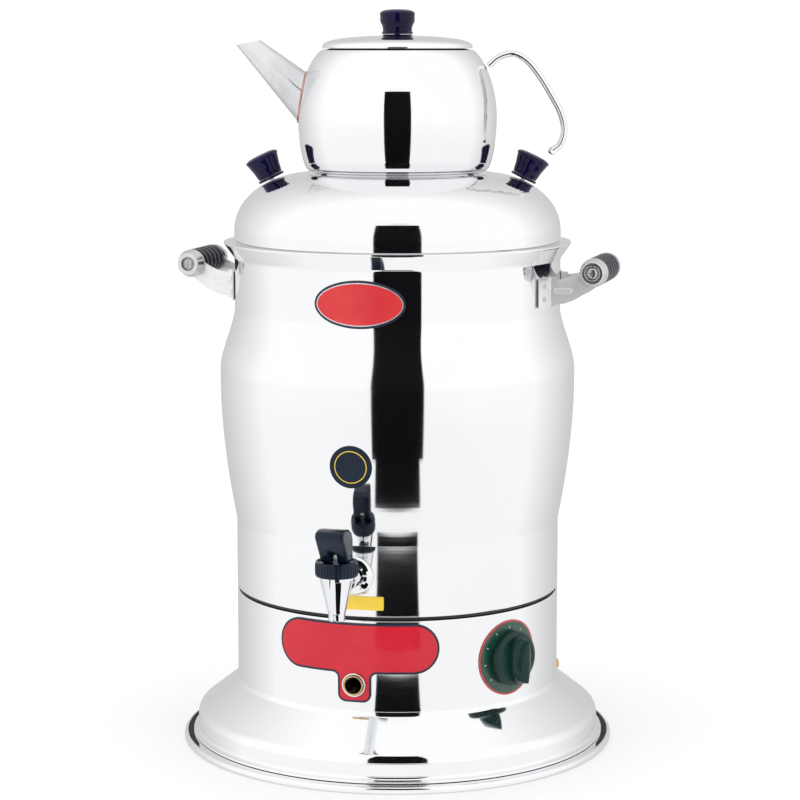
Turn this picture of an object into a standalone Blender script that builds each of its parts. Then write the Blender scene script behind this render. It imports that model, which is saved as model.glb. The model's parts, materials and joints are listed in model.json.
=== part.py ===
"""Gas samovar: a tank boiler on a burner base, with a tap, a dome lid and a teapot.

Metres, +Z up. The origin is on the tank's axis, on the underside of the base tray.
The tap faces -Y, the side handles lie at +X and -X.
"""
import math

import bmesh
import bpy
from mathutils import Matrix, Vector

for leftover in list(bpy.data.objects):
    bpy.data.objects.remove(leftover, do_unlink=True)

# Fits and overruns that several pieces share
GAP = 0.0003            # between pieces that touch
RUNNING_GAP = 0.0004    # between a shaft and its hole
OVERRUN = 0.004         # how far a cutter runs past the face that it cuts
MERGE = 0.000001

# Facets round a turned piece
SHELL_SIDES = 32
POT_SIDES = 28
TURNED_SIDES = 14
SMALL_SIDES = 8
HEX_SIDES = 6

# Base tray
TRAY_RADIUS = 0.1908
TRAY_RIM_HEIGHT = 0.0062
TRAY_RIM_WIDTH = 0.0180
TRAY_SHEET = 0.0012
TRAY_ROLL_STEPS = 4
TRAY_VENT_RADIUS = 0.0090
TRAY_VENT_CIRCLE = 0.0800
TRAY_VENT_COUNT = 6

# Base skirt, outer faces
SKIRT_SHEET = 0.0010
SKIRT_FOOT_INSET = 0.0080
SKIRT_FOOT_WIDTH = 0.0100
SKIRT_FOOT_RISE = 0.0032
SKIRT_FOOT_STEP = 0.0046
SKIRT_WALL_HEIGHT = 0.0160
SKIRT_SHOULDER_STEP = 0.0020
SKIRT_SHOULDER_RISE = 0.0055
COLLAR_STEP_WIDTH = 0.0016
SKIRT_CONE_RISE = 0.0250
COLLAR_STEP_RISE = 0.0035
COLLAR_HEIGHT = 0.0783
LEDGE_WIDTH = 0.0100
BACK_VENT_COUNT = 5
BACK_VENT_WIDTH = 0.0060
BACK_VENT_LENGTH = 0.0300
BACK_VENT_STEP = 0.0160

# Tank
BODY_RADIUS = 0.1424
BODY_SHEET = 0.0010
SEAT_RING_HEIGHT = 0.0024
SEAT_RING_INSET = 0.0025
SEAT_RING_WIDTH = 0.0065
LOWER_WALL_HEIGHT = 0.0580
BELLY_RADIUS = 0.1556
BELLY_RISE = 0.1212
BELLY_BAND = 0.0132
SHOULDER_RISE = 0.0497
NECK_RADIUS = 0.1424
NECK_LENGTH = 0.0483
MOUTH_FLARE = 0.0092
MOUTH_RISE = 0.0126
MOUTH_LIP = 0.0015
BELLY_STEPS = 5
SHOULDER_STEPS = 4
TANK_FLOOR_RISE = 0.0215
TANK_FLOOR_FLANGE = 0.0120
TANK_FLOOR_SHEET = 0.0012

# Dome lid
LID_SHEET = 0.0010
LID_PLUG_CLEARANCE = 0.0016
LID_PLUG_DEPTH = 0.0090
LID_SEAT_RISE = 0.0018
LID_WALL_HEIGHT = 0.0213
LID_RISE = 0.0500
LID_FLAT_RADIUS = 0.0780
LID_BRIM_WIDTH = 0.0040
LID_WELL_STEP = 0.0022
LID_WELL_DEPTH = 0.0026
STEAM_HOLE_RADIUS = 0.0450
STEAM_HOLE_LIP = 0.0040
LID_ARC_STEPS = 6
LID_TURN = math.radians(14.7)

# Lid knobs
KNOB_INSET = 0.0334
KNOB_TILT = math.radians(26.0)
KNOB_FOOT_RADIUS = 0.0108
KNOB_HEAD_RADIUS = 0.0150
KNOB_HEIGHT = 0.0205
KNOB_CROWN = 0.0040
WASHER_RADIUS = 0.0118
WASHER_HEIGHT = 0.0022
DOME_CROWN_AT_WASHER = 0.0005   # room for the dome's curve under a flat washer
KNOB_SCREW_RADIUS = 0.0020
KNOB_SCREW_HEAD_RADIUS = 0.0042
KNOB_SCREW_HEAD_HEIGHT = 0.0025
KNOB_SCREW_REACH = 0.0100

# Teapot
POT_SHEET = 0.0009
POT_FOOT_RADIUS = 0.0719
POT_FOOT_CORNER = 0.0035
POT_BELLY_RADIUS = 0.0864
POT_BELLY_HEIGHT = 0.0500
POT_BELLY_POWER = 1.15
POT_SHOULDER_RADIUS = 0.0655
POT_HEIGHT = 0.1093
POT_MOUTH_RADIUS = 0.0600
POT_MOUTH_STEP = 0.0010
POT_LOWER_STEPS = 5
POT_UPPER_STEPS = 5

# Teapot lid and its knob, whose stud goes through the lid
POT_LID_RADIUS = 0.0651
POT_LID_SHEET = 0.0008
POT_LID_EDGE = 0.0010
POT_LID_STEP_RADIUS = 0.0525
POT_LID_STEP_RISE = 0.0050
POT_LID_DRUM_RADIUS = 0.0490
POT_LID_DRUM_RISE = 0.0100
POT_LID_RISE = 0.0120
POT_LID_CROWN_SHARE = 0.6
POT_LID_PLUG_CLEARANCE = 0.0011
POT_LID_PLUG_DEPTH = 0.0070
POT_KNOB_FOOT_RADIUS = 0.0135
POT_KNOB_WAIST_RADIUS = 0.0115
POT_KNOB_HEAD_RADIUS = 0.0152
POT_KNOB_HEIGHT = 0.0213
POT_KNOB_FLANGE = 0.0030
POT_KNOB_STUD_RADIUS = 0.0024
POT_KNOB_STUD_LENGTH = 0.0040

# Spout: a cone that leans away from the pot's axis
SPOUT_ANGLE = math.radians(43.0)
SPOUT_MOUTH_REACH = 0.1301
SPOUT_MOUTH_RISE = 0.1144
SPOUT_MOUTH_RADIUS = 0.0086
SPOUT_TAPER_SHARE = 0.144
SPOUT_LENGTH = 0.0900
SPOUT_SHEET = 0.0009
SPOUT_MOUTH_TILT = math.radians(10.8)
SPOUT_HOLE_RADIUS = 0.0110

# Teapot handle: a strap along a smooth path, in shares of its reach and its rise
HANDLE_REACH = 0.1450
HANDLE_RISE = 0.1050
HANDLE_PATH_SHARES = (
    (0.545, 0.900), (0.607, 0.971), (0.697, 1), (0.779, 0.938), (0.855, 0.810),
    (0.924, 0.657), (0.979, 0.514), (1, 0.381), (0.979, 0.262), (0.931, 0.205),
)
HANDLE_PATH_STEPS = 2
STRAP_WIDTH = 0.0170
STRAP_THICKNESS = 0.0060
STRAP_SECTION_SHARES = (
    (-1, -0.5), (-0.75, -1), (0.75, -1), (1, -0.5), (1, 0.5), (0.75, 1), (-0.75, 1), (-1, 0.5),
)

# Tap body: drops and rises are from the axis of its shank
TAP_RISE = 0.0350
TAP_STANDOFF = 0.0525
TAP_NOZZLE_DROP = 0.0260
TAP_NOZZLE_LENGTH = 0.0090
TAP_NOZZLE_RADIUS = 0.0068
TAP_NOZZLE_BORE = 0.0048
TAP_NECK_RADIUS = 0.0078
TAP_SHOULDER_RISE = 0.0085
TAP_RIM_HEIGHT = 0.0050
TAP_TOP_RADIUS = 0.0140
CHAMBER_RADIUS = 0.0090
CHAMBER_DROP = 0.0070
SEAT_DEPTH = 0.0045
BODY_NOTCH_WIDTH = 0.0047
BODY_NOTCH_HEIGHT = 0.0065
BODY_NOTCH_DEPTH = 0.0020
NOZZLE_SLIT_WIDTH = 0.0024
NOZZLE_SLIT_HEIGHT = 0.0065

# What clamps the tap to the tank
SHANK_RADIUS = 0.0080
SHANK_BORE = 0.0045
SHANK_TAIL = 0.0040
FLANGE_RADIUS = 0.0165
FLANGE_THICKNESS = 0.0050
FLANGE_PROFILE_SHARES = ((1, 0.12), (0.93, 0.40), (0.75, 0.80), (0.57, 1))
SEAL_RADIUS = 0.0130
SEAL_THICKNESS = 0.0020
LOCK_NUT_RADIUS = 0.0125
LOCK_NUT_THICKNESS = 0.0050

# Tap collar nut
NUT_RADIUS = 0.01775
NUT_OVERLAP = 0.0020
NUT_HEIGHT = 0.0125
NUT_RIM = 0.0020
NUT_RECESS = 0.0014
NUT_GUIDE_LENGTH = 0.0044
NUT_RIB_DEPTH = 0.0005

# Tap stem, its seal and its spring
STEM_RADIUS = 0.0026
STEM_EYE_WIDTH = 0.0050
STEM_EYE_DEPTH = 0.0060
STEM_EYE_STEPS = 6
SEAT_SEAL_RADIUS = 0.0078
SEAT_SEAL_HEIGHT = 0.0065
SEAT_SEAL_POCKET = 0.0035
SPRING_WIRE = 0.0009
SPRING_RADIUS = 0.0044
SPRING_TURNS = 4
SPRING_TURN_STEPS = 8

# Tap lever: shares of its toe reach or back reach, and of its head height
LEVER_WIDTH = 0.0240
LEVER_HUB_RADIUS = 0.0050
LEVER_HUB_OFFSET = 0.0045
LEVER_HUB_STEPS = 4
LEVER_HEAD_HEIGHT = 0.0245
LEVER_TOE_REACH = 0.0235
LEVER_TOE_SHARES = ((0.90, 0.62), (1, 0.78), (0.93, 0.95), (0.60, 1), (0.10, 0.93))
LEVER_BACK_REACH = 0.0072
LEVER_BACK_SHARES = ((0.55, 0.80), (1, 0.55), (1, -0.14), (0.70, -0.20))
LEVER_BEVEL = 0.0020
LEVER_SLOT_WIDTH = 0.0062
LEVER_SLOT_RISE = 0.0048
PIN_RADIUS = 0.0015
PIN_LENGTH = 0.0200

# Side handles: grips
GRIP_STANDOFF = 0.0376
GRIP_RISE = 0.0175
GRIP_LENGTH = 0.0520
GRIP_RADIUS = 0.0122
GRIP_GROOVE = 0.0013
GRIP_RIBS = 5
GRIP_BORE = 0.0030

# Side handles: pressed arms, each with a riveted foot
ARM_FOOT_RISE = 0.0235
ARM_FOOT_HEIGHT = 0.0250
ARM_FOOT_WIDTH = 0.0220
ARM_FOOT_STEPS = 2
ARM_SHEET = 0.0020
ARM_HEIGHT = 0.0210
ARM_CURVE_STEPS = 4
ARM_EYE_RADIUS = 0.0105
ARM_EYE_START = math.radians(-60.0)
ARM_EYE_END = math.radians(144.0)
ARM_EYE_STEPS = 6
RIVET_RADIUS = 0.0024
RIVET_HEIGHT = 0.0012
RIVET_SPACING = 0.0110
RIVET_PLACE_SHARE = 0.6

# Side handles: end caps and screws
CAP_LENGTH = 0.0120
CAP_FACE_RADIUS = 0.0095
CAP_RIM = 0.0030
CAP_RECESS_RADIUS = 0.0060
CAP_RECESS_DEPTH = 0.0030
SCREW_RADIUS = 0.0022
SCREW_HEAD_RADIUS = 0.0050
SCREW_HEAD_HEIGHT = 0.0022
SCREW_REACH = 0.0150
SCREW_CROSS_WIDTH = 0.0010
SCREW_CROSS_LENGTH = 0.0056

# Labels and trim plates
PLATE_SHEET = 0.0008
LABEL_SHEET = 0.0004
WRAP_STEP = 0.0120
ROUND_STEPS = 8
FRONT_PLATE_DROP = 0.0023
FRONT_PLATE_LENGTH = 0.1440
FRONT_PLATE_HEIGHT = 0.0430
FRONT_TAB_WIDTH = 0.0288
FRONT_TAB_LENGTH = 0.0250
FRONT_TAB_CORNER = 0.0070
FRONT_FILLET = 0.0050
FRONT_FILLET_STEPS = 3
BADGE_LENGTH = 0.0780
BADGE_HEIGHT = 0.0400
BADGE_RISE = 0.0205
BADGE_BEARING = math.radians(1.8)
BADGE_STEPS = 28
DISC_RADIUS = 0.0180
DISC_RISE = 0.0708
DISC_STEPS = 24
VOLUME_LENGTH = 0.0500
VOLUME_HEIGHT = 0.0116
VOLUME_RISE = 0.0121

# Lighting port, on the front plate's tab
PORT_RISE = 0.0152
PORT_BORE = 0.0072
PORT_SLEEVE_RADIUS = 0.0086
PORT_SLEEVE_INSIDE = 0.0160
PORT_SLEEVE_OUTSIDE = 0.0050
PORT_RING_RADIUS = 0.0102
PORT_RING_THICKNESS = 0.0022

# Gas valve, behind the collar wall
GAS_BEARING = math.radians(56.5)
GAS_DROP = 0.0397
DIAL_RADIUS = 0.0325
DIAL_HOLE = 0.0085
DIAL_STEPS = 32
VALVE_SETBACK = 0.0013
VALVE_FLANGE = 0.0030
VALVE_FLANGE_RADIUS = 0.0130
VALVE_RADIUS = 0.0090
VALVE_LENGTH = 0.0300
VALVE_SNOUT_RADIUS = 0.0065
VALVE_SNOUT_LENGTH = 0.0055
VALVE_CAVITY_RADIUS = 0.0052
VALVE_REAR_WALL = 0.0025
VALVE_FRONT_WALL = 0.0070
PLUG_SMALL_RADIUS = 0.0040
PLUG_FLOOR = 0.0027
SPINDLE_RADIUS = 0.0030
SPINDLE_PUSH_ROOM = 0.0045

# Gas knob: a dished disc with a lens-shaped grip
GAS_KNOB_STANDOFF = 0.0045
GAS_KNOB_RADIUS = 0.0235
GAS_KNOB_EDGE = 0.0040
GAS_KNOB_FACE_RADIUS = 0.0200
GAS_KNOB_THICKNESS = 0.0055
GAS_KNOB_HOLLOW_RADIUS = 0.0190
GAS_KNOB_HOLLOW = 0.0025
GAS_GRIP_RISE = 0.0140
GAS_GRIP_SHOULDER = 0.0050
GAS_GRIP_LENGTH = 0.0400
GAS_GRIP_WIDTH = 0.0190
GAS_GRIP_RIDGE = 0.0022
GAS_GRIP_LENGTH_SHARES = (1, 0.97, 0.92)
GAS_GRIP_WIDTH_SHARE = 0.75
GAS_GRIP_SOCKET = 0.0070
GAS_GRIP_STEPS = 6

# Gas line: hose nipple, pipes and jet
PIPE_RADIUS = 0.0030
PIPE_STEPS = 3
PIPE_BEND = 0.0150
PIPE_ELBOW = 0.0075
INLET_INSET = 0.0080
INLET_TURN_SHARES = (0.27, 0.54, 0.81)
FEED_INSET = 0.0070
FEED_RUN = 0.01442
NIPPLE_BEARING = math.radians(138.0)
NIPPLE_RISE = 0.0095
NIPPLE_RADIUS = 0.0050
NIPPLE_BORE = 0.0025
NIPPLE_INSIDE = 0.0155
NIPPLE_OUTSIDE = 0.0140
NIPPLE_BARB = 0.0014
NIPPLE_BARBS = 2
NIPPLE_BARB_LENGTH = 0.0050
JET_RADIUS = 0.0050
JET_BORE = 0.0008
JET_LENGTH = 0.0100
JET_GAP = 0.0050

# Burner
BURNER_RADIUS = 0.0400
BURNER_LIFT = 0.0525
BURNER_HEIGHT = 0.0300
BURNER_WALL = 0.0022
BURNER_CORNER = 0.0060
MIXER_RADIUS = 0.0090
MIXER_WALL = 0.0016
MIXER_LIFT = 0.0005
BURNER_CAP_OVERHANG = 0.0025
BURNER_CAP_HEIGHT = 0.0075
BURNER_CAP_PLUG = 0.0050
BURNER_CAP_EYE = 0.0060
BURNER_CAP_TOP_SHARE = 0.85
FLAME_SLOTS = 12
FLAME_SLOT_WIDTH = 0.0030
FLAME_SLOT_DEPTH = 0.0025
STAND_SHEET = 0.0015
STAND_BEND = 0.0040
STAND_BEND_STEPS = 3
STAND_HALF_SPAN = 0.0270
STAND_FOOT = 0.0140
STAND_DEPTH = 0.0300

# Heights that follow from these sizes, from the tray up
skirt_bottom = TRAY_RIM_HEIGHT + GAP
skirt_wall_top = skirt_bottom + SKIRT_WALL_HEIGHT
skirt_shoulder = skirt_wall_top + SKIRT_SHOULDER_RISE
skirt_cone_top = skirt_shoulder + SKIRT_CONE_RISE
collar_bottom = skirt_cone_top + COLLAR_STEP_RISE
collar_top = collar_bottom + COLLAR_HEIGHT
seat_ring_bottom = collar_top + GAP
body_bottom = seat_ring_bottom + SEAT_RING_HEIGHT + GAP
tank_floor = body_bottom + TANK_FLOOR_RISE
belly_start = body_bottom + LOWER_WALL_HEIGHT
belly_low = belly_start + BELLY_RISE
belly_high = belly_low + BELLY_BAND
neck_start = belly_high + SHOULDER_RISE
neck_top = neck_start + NECK_LENGTH
mouth_top = neck_top + MOUTH_RISE
lid_seat = neck_top + LID_SEAT_RISE
lid_wall_top = lid_seat + LID_WALL_HEIGHT
lid_brim_height = lid_wall_top + LID_RISE
lid_well_height = lid_brim_height - LID_WELL_DEPTH
pot_bottom = lid_well_height + GAP
pot_top = pot_bottom + POT_HEIGHT
pot_lid_bottom = pot_top + GAP

# Radii of the shells
skirt_foot_radius = TRAY_RADIUS - SKIRT_FOOT_INSET
skirt_wall_radius = skirt_foot_radius - SKIRT_FOOT_STEP
skirt_shoulder_radius = skirt_wall_radius - SKIRT_SHOULDER_STEP
skirt_cone_top_radius = BODY_RADIUS + COLLAR_STEP_WIDTH
knob_reach = NECK_RADIUS - KNOB_INSET
ledge_radius = BODY_RADIUS - LEDGE_WIDTH
body_inner_radius = BODY_RADIUS - BODY_SHEET
lid_brim_radius = LID_FLAT_RADIUS + LID_BRIM_WIDTH
facet_share = math.cos(math.pi / SHELL_SIDES)   # radius to a facet's middle, as a share of the full one

# Tap: heights, and reaches along its shank
tap_height = body_bottom + TAP_RISE
tap_reach = BODY_RADIUS + TAP_STANDOFF
tap_bottom = tap_height - TAP_NOZZLE_DROP
tap_shoulder = tap_height + TAP_SHOULDER_RISE
tap_top = tap_shoulder + TAP_RIM_HEIGHT
chamber_floor = tap_height - CHAMBER_DROP
shank_hole = SHANK_RADIUS + GAP
tank_wall_inside = (body_inner_radius - GAP) * facet_share
seal_start = tank_wall_inside - SEAL_THICKNESS - SEAL_RADIUS ** 2 / tank_wall_inside / 2
lock_nut_end = seal_start - GAP
lock_nut_start = lock_nut_end - LOCK_NUT_THICKNESS
shank_end = lock_nut_start - SHANK_TAIL
nut_bottom = tap_top - NUT_OVERLAP
nut_top = nut_bottom + NUT_HEIGHT
nut_dish = nut_top - NUT_RECESS
guide_bottom = nut_dish - NUT_GUIDE_LENGTH
pin_height = nut_dish + GAP + LEVER_HUB_RADIUS

# Side handles
arm_foot_height = neck_start + ARM_FOOT_RISE
grip_height = arm_foot_height + GRIP_RISE
grip_reach = NECK_RADIUS + GRIP_STANDOFF

# Front plate and lighting port
plate_top = collar_top - FRONT_PLATE_DROP
plate_bottom = plate_top - FRONT_PLATE_HEIGHT
tab_bottom = plate_bottom - FRONT_TAB_LENGTH
port_height = tab_bottom + PORT_RISE

# Gas valve and knob: distances from the tank's axis
gas_height = collar_top - GAS_DROP
valve_flange_front = body_inner_radius * facet_share - VALVE_SETBACK
valve_flange_rear = valve_flange_front - VALVE_FLANGE
valve_rear = valve_flange_rear - VALVE_LENGTH
valve_snout_end = valve_flange_front + VALVE_SNOUT_LENGTH
cavity_rear = valve_rear + VALVE_REAR_WALL
cavity_front = valve_flange_rear - VALVE_FRONT_WALL
plug_socket_rear = cavity_rear + GAP + PLUG_FLOOR
spindle_rear = plug_socket_rear + SPINDLE_PUSH_ROOM
gas_knob_back = BODY_RADIUS + GAS_KNOB_STANDOFF
gas_knob_face = gas_knob_back + GAS_KNOB_THICKNESS
spindle_front = gas_knob_face + GAS_GRIP_SOCKET

# Gas line and burner
nipple_height = skirt_shoulder + NIPPLE_RISE
nipple_slope_share = NIPPLE_RISE / SKIRT_CONE_RISE
nipple_wall = skirt_shoulder_radius + (skirt_cone_top_radius - skirt_shoulder_radius) * nipple_slope_share
nipple_start = nipple_wall - NIPPLE_INSIDE
nipple_end = nipple_wall + NIPPLE_OUTSIDE
burner_bottom = TRAY_SHEET + GAP + BURNER_LIFT
burner_top = burner_bottom + BURNER_HEIGHT
mixer_height = burner_bottom + BURNER_WALL + MIXER_RADIUS + MIXER_LIFT
feed_reach = valve_rear + FEED_INSET
jet_rear = feed_reach - FEED_RUN
jet_tip = jet_rear - JET_LENGTH
mixer_end = jet_tip - JET_GAP


# Frames and outlines

def bearing(angle):
    """Unit vector at an angle from the front, towards +X."""
    return Vector((math.sin(angle), -math.cos(angle), 0))


def radial_frame(angle, height):
    """Local +Z points out at a bearing and local +Y up; the frame sits on the tank's axis."""
    out = bearing(angle)
    across = Vector((math.cos(angle), math.sin(angle), 0))
    turn = Matrix((across, Vector((0, 0, 1)), out)).transposed().to_4x4()
    return Matrix.Translation((0, 0, height)) @ turn


def arc(centre, radius, start, end, steps):
    """Points of a circular arc, both ends included."""
    points = []
    for index in range(steps + 1):
        angle = start + (end - start) * index / steps
        points.append((centre[0] + radius * math.cos(angle), centre[1] + radius * math.sin(angle)))
    return points


def circle(centre, radius, steps):
    """Points round a circle, the first not repeated."""
    return arc(centre, radius, 0, math.tau, steps)[:-1]


def rounded_line(line, radius, steps):
    """The line with its inner corners rounded."""
    result = [line[0]]
    for before, corner, after in zip(line, line[1:], line[2:]):
        corner = Vector(corner)
        back = (Vector(before) - corner).normalized()
        ahead = (Vector(after) - corner).normalized()
        half = back.angle(ahead) / 2
        centre = corner + (back + ahead).normalized() * radius / math.sin(half)
        first = corner + back * radius / math.tan(half) - centre
        last = corner + ahead * radius / math.tan(half) - centre
        for index in range(steps + 1):
            spoke = first.slerp(last, index / steps).normalized() * radius
            result.append(tuple(centre + spoke))
    result.append(line[-1])
    return result


def offset_line(line, distance):
    """The line moved to its left by a distance, with mitred corners."""
    moved = []
    for index, point in enumerate(line):
        here = Vector(point)
        directions = []
        if index > 0:
            directions.append((here - Vector(line[index - 1])).normalized())
        if index < len(line) - 1:
            directions.append((Vector(line[index + 1]) - here).normalized())
        normals = [Vector((-step.y, step.x)) for step in directions]
        mitre = (normals[0] + normals[-1]).normalized()
        reach = distance / mitre.dot(normals[0])
        shifted = here + mitre * reach
        moved.append(tuple(shifted) if point[0] else (0, shifted.y))
    return moved


def wall_outline(line, sheet):
    """Closed outline of a sheet whose outer face follows the line."""
    return list(line) + list(reversed(offset_line(line, sheet)))


def smooth_route(points, steps):
    """Points of a Catmull-Rom curve through the given points."""
    route = [Vector(point) for point in points]
    padded = [route[0] * 2 - route[1]] + route + [route[-1] * 2 - route[-2]]
    result = []
    for index in range(1, len(padded) - 2):
        before, start, end, after = padded[index - 1:index + 3]
        for step in range(steps):
            t = step / steps
            curve = start * 2 + (end - before) * t
            curve += (before * 2 - start * 5 + end * 4 - after) * t ** 2
            curve += (start * 3 - before - end * 3 + after) * t ** 3
            result.append(curve / 2)
    result.append(route[-1])
    return result


# Objects

def make_material(name, colour, roughness, metallic=0.0):
    material = bpy.data.materials.new(name)
    material.use_nodes = True
    shader = material.node_tree.nodes["Principled BSDF"]
    shader.inputs["Base Color"].default_value = (*colour, 1.0)
    shader.inputs["Roughness"].default_value = roughness
    shader.inputs["Metallic"].default_value = metallic
    return material


def finish_mesh(name, build, material, place=None, smooth_angle=35.0):
    """Turn a bmesh into a smooth-shaded object, with its faces pointing out."""
    bmesh.ops.remove_doubles(build, verts=build.verts, dist=MERGE)
    bmesh.ops.recalc_face_normals(build, faces=build.faces)
    if build.calc_volume(signed=True) < 0:
        bmesh.ops.reverse_faces(build, faces=build.faces)
    mesh = bpy.data.meshes.new(name)
    build.to_mesh(mesh)
    build.free()
    mesh.shade_smooth()
    mesh.set_sharp_from_angle(angle=math.radians(smooth_angle))
    piece = bpy.data.objects.new(name, mesh)
    bpy.context.collection.objects.link(piece)
    if material:
        mesh.materials.append(material)
    if place:
        piece.matrix_world = place
    return piece


def turned(name, outline, material, sides=TURNED_SIDES, place=None):
    """Revolve a closed outline of (radius, height) points about Z."""
    build = bmesh.new()
    points = [build.verts.new((radius, 0, height)) for radius, height in outline]
    for index, point in enumerate(points):
        following = points[(index + 1) % len(points)]
        if point.co.x > 0 or following.co.x > 0:
            build.edges.new((point, following))
    bmesh.ops.spin(build, geom=build.verts[:] + build.edges[:], cent=(0, 0, 0),
                   axis=(0, 0, 1), angle=math.tau, steps=sides)
    return finish_mesh(name, build, material, place)


def extruded(name, outline, depth, material, place=None):
    """Extrude a flat outline of (x, y) points along +Z."""
    build = bmesh.new()
    face = build.faces.new([build.verts.new((x, y, 0)) for x, y in outline])
    grown = bmesh.ops.extrude_face_region(build, geom=[face])
    top = [item for item in grown["geom"] if isinstance(item, bmesh.types.BMVert)]
    bmesh.ops.translate(build, verts=top, vec=(0, 0, depth))
    return finish_mesh(name, build, material, place)


def lofted(name, rings, material, place=None):
    """Join rings of points into a closed body with flat ends."""
    build = bmesh.new()
    loops = [[build.verts.new(point) for point in ring] for ring in rings]
    for lower, upper in zip(loops, loops[1:]):
        for index in range(len(lower)):
            after = (index + 1) % len(lower)
            build.faces.new((lower[index], lower[after], upper[after], upper[index]))
    build.faces.new(loops[0])
    build.faces.new(loops[-1])
    return finish_mesh(name, build, material, place)


def pipe(name, route, radius, material):
    """A round pipe along a smooth route."""
    curve = bpy.data.curves.new(name, "CURVE")
    curve.dimensions = "3D"
    curve.bevel_depth = radius
    curve.bevel_resolution = 2
    curve.use_fill_caps = True
    curve.materials.append(material)
    spline = curve.splines.new("POLY")
    points = smooth_route(route, PIPE_STEPS)
    spline.points.add(len(points) - 1)
    for target, point in zip(spline.points, points):
        target.co = (*point, 1)
    piece = bpy.data.objects.new(name, curve)
    bpy.context.collection.objects.link(piece)
    return piece


def wrapped(name, outline, surface, angle, sheet, material):
    """Bend a flat plate of (across, height) points round the tank, a gap off its surface."""
    build = bmesh.new()
    build.faces.new([build.verts.new((x, y, 0)) for x, y in outline])
    reach = max(abs(x) for x, y in outline)
    cuts = int(reach / WRAP_STEP)
    for index in range(-cuts, cuts + 1):
        bmesh.ops.bisect_plane(build, geom=build.verts[:] + build.edges[:] + build.faces[:],
                               plane_co=(index * WRAP_STEP, 0, 0), plane_no=(1, 0, 0))
    grown = bmesh.ops.extrude_face_region(build, geom=build.faces[:])
    top = [item for item in grown["geom"] if isinstance(item, bmesh.types.BMVert)]
    bmesh.ops.translate(build, verts=top, vec=(0, 0, sheet))
    for vertex in build.verts:
        across, height, depth = vertex.co
        radius = surface(height)
        out = bearing(angle + across / radius)
        vertex.co = out * (radius + GAP + depth) + Vector((0, 0, height))
    return finish_mesh(name, build, material)


def shape(piece, other, operation="DIFFERENCE", keep=False):
    """Cut, join or intersect a piece with another, which is a cutter unless it is kept."""
    modifier = piece.modifiers.new(operation.title() + " " + other.name, "BOOLEAN")
    modifier.operation = operation
    modifier.object = other
    modifier.solver = "EXACT"
    if not keep:
        other.hide_render = True
        other.display_type = "WIRE"
    return piece


def rod_cutter(name, radius, start, end, place, sides=TURNED_SIDES):
    """A round cutter along the place's Z axis, with its ends at two distances."""
    outline = [(0, start), (radius, start), (radius, end), (0, end)]
    return turned(name, outline, None, sides, place)


def box_cutter(name, low, high, place=None):
    """A box cutter between two corners."""
    outline = [(low[0], low[1]), (high[0], low[1]), (high[0], high[1]), (low[0], high[1])]
    lift = Matrix.Translation((0, 0, low[2]))
    frame = place @ lift if place else lift
    return extruded(name, outline, high[2] - low[2], None, frame)


def attach(piece, parent):
    """Parent a piece and keep it where it is."""
    bpy.context.view_layer.update()
    piece.parent = parent
    piece.matrix_parent_inverse = parent.matrix_world.inverted()


def joint_empty(name, location):
    empty = bpy.data.objects.new(name, None)
    empty.location = location
    bpy.context.collection.objects.link(empty)
    return empty


steel = make_material("polished_steel", (0.78, 0.79, 0.80), 0.08, 1.0)
brushed = make_material("brushed_steel", (0.62, 0.62, 0.63), 0.32, 1.0)
chrome = make_material("chrome", (0.85, 0.86, 0.88), 0.05, 1.0)
zinc = make_material("zinc_steel", (0.55, 0.56, 0.57), 0.40, 1.0)
brass = make_material("brass", (0.70, 0.50, 0.22), 0.25, 1.0)
copper = make_material("copper_pipe", (0.72, 0.38, 0.24), 0.30, 1.0)
iron = make_material("cast_iron", (0.06, 0.06, 0.065), 0.60, 0.6)
navy = make_material("navy_plastic", (0.012, 0.012, 0.075), 0.22)
teal = make_material("tap_plastic", (0.008, 0.035, 0.055), 0.25)
green = make_material("knob_plastic", (0.006, 0.045, 0.035), 0.28)
silicone = make_material("silicone", (0.75, 0.74, 0.70), 0.50)
gasket = make_material("black_gasket", (0.02, 0.02, 0.02), 0.60)
red_plate = make_material("red_plate", (0.60, 0.012, 0.025), 0.25)
blue_label = make_material("blue_label", (0.01, 0.03, 0.07), 0.30)
yellow_label = make_material("yellow_label", (0.85, 0.62, 0.05), 0.40)
dial_print = make_material("dial_print", (0.02, 0.10, 0.06), 0.35)

def body_radius(height):
    """Outer radius of the tank: cylinder, belly, then neck."""
    if height <= belly_start:
        return BODY_RADIUS
    if height <= belly_low:
        along = (height - belly_start) / (belly_low - belly_start)
        return BODY_RADIUS + (BELLY_RADIUS - BODY_RADIUS) * math.sin(along * math.pi / 2)
    if height <= belly_high:
        return BELLY_RADIUS
    if height <= neck_start:
        along = (height - belly_high) / (neck_start - belly_high)
        ease = (1 - math.cos(along * math.pi)) / 2
        return BELLY_RADIUS + (NECK_RADIUS - BELLY_RADIUS) * ease
    return NECK_RADIUS


def make_tray():
    roll = TRAY_RIM_HEIGHT / 2
    centre = (TRAY_RADIUS - roll, roll)
    inner_edge = TRAY_RADIUS - TRAY_RIM_WIDTH
    rim = arc(centre, roll, -math.pi / 2, math.pi / 2, TRAY_ROLL_STEPS)
    outer = [(0, 0)] + rim + [(inner_edge, TRAY_RIM_HEIGHT)]
    tray = turned("base_tray", wall_outline(outer, TRAY_SHEET), steel, SHELL_SIDES)
    for index in range(TRAY_VENT_COUNT):
        centre = bearing(math.tau * index / TRAY_VENT_COUNT) * TRAY_VENT_CIRCLE
        place = Matrix.Translation(centre)
        shape(tray, rod_cutter(f"tray_vent_{index}", TRAY_VENT_RADIUS, -OVERRUN, OVERRUN, place))


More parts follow.
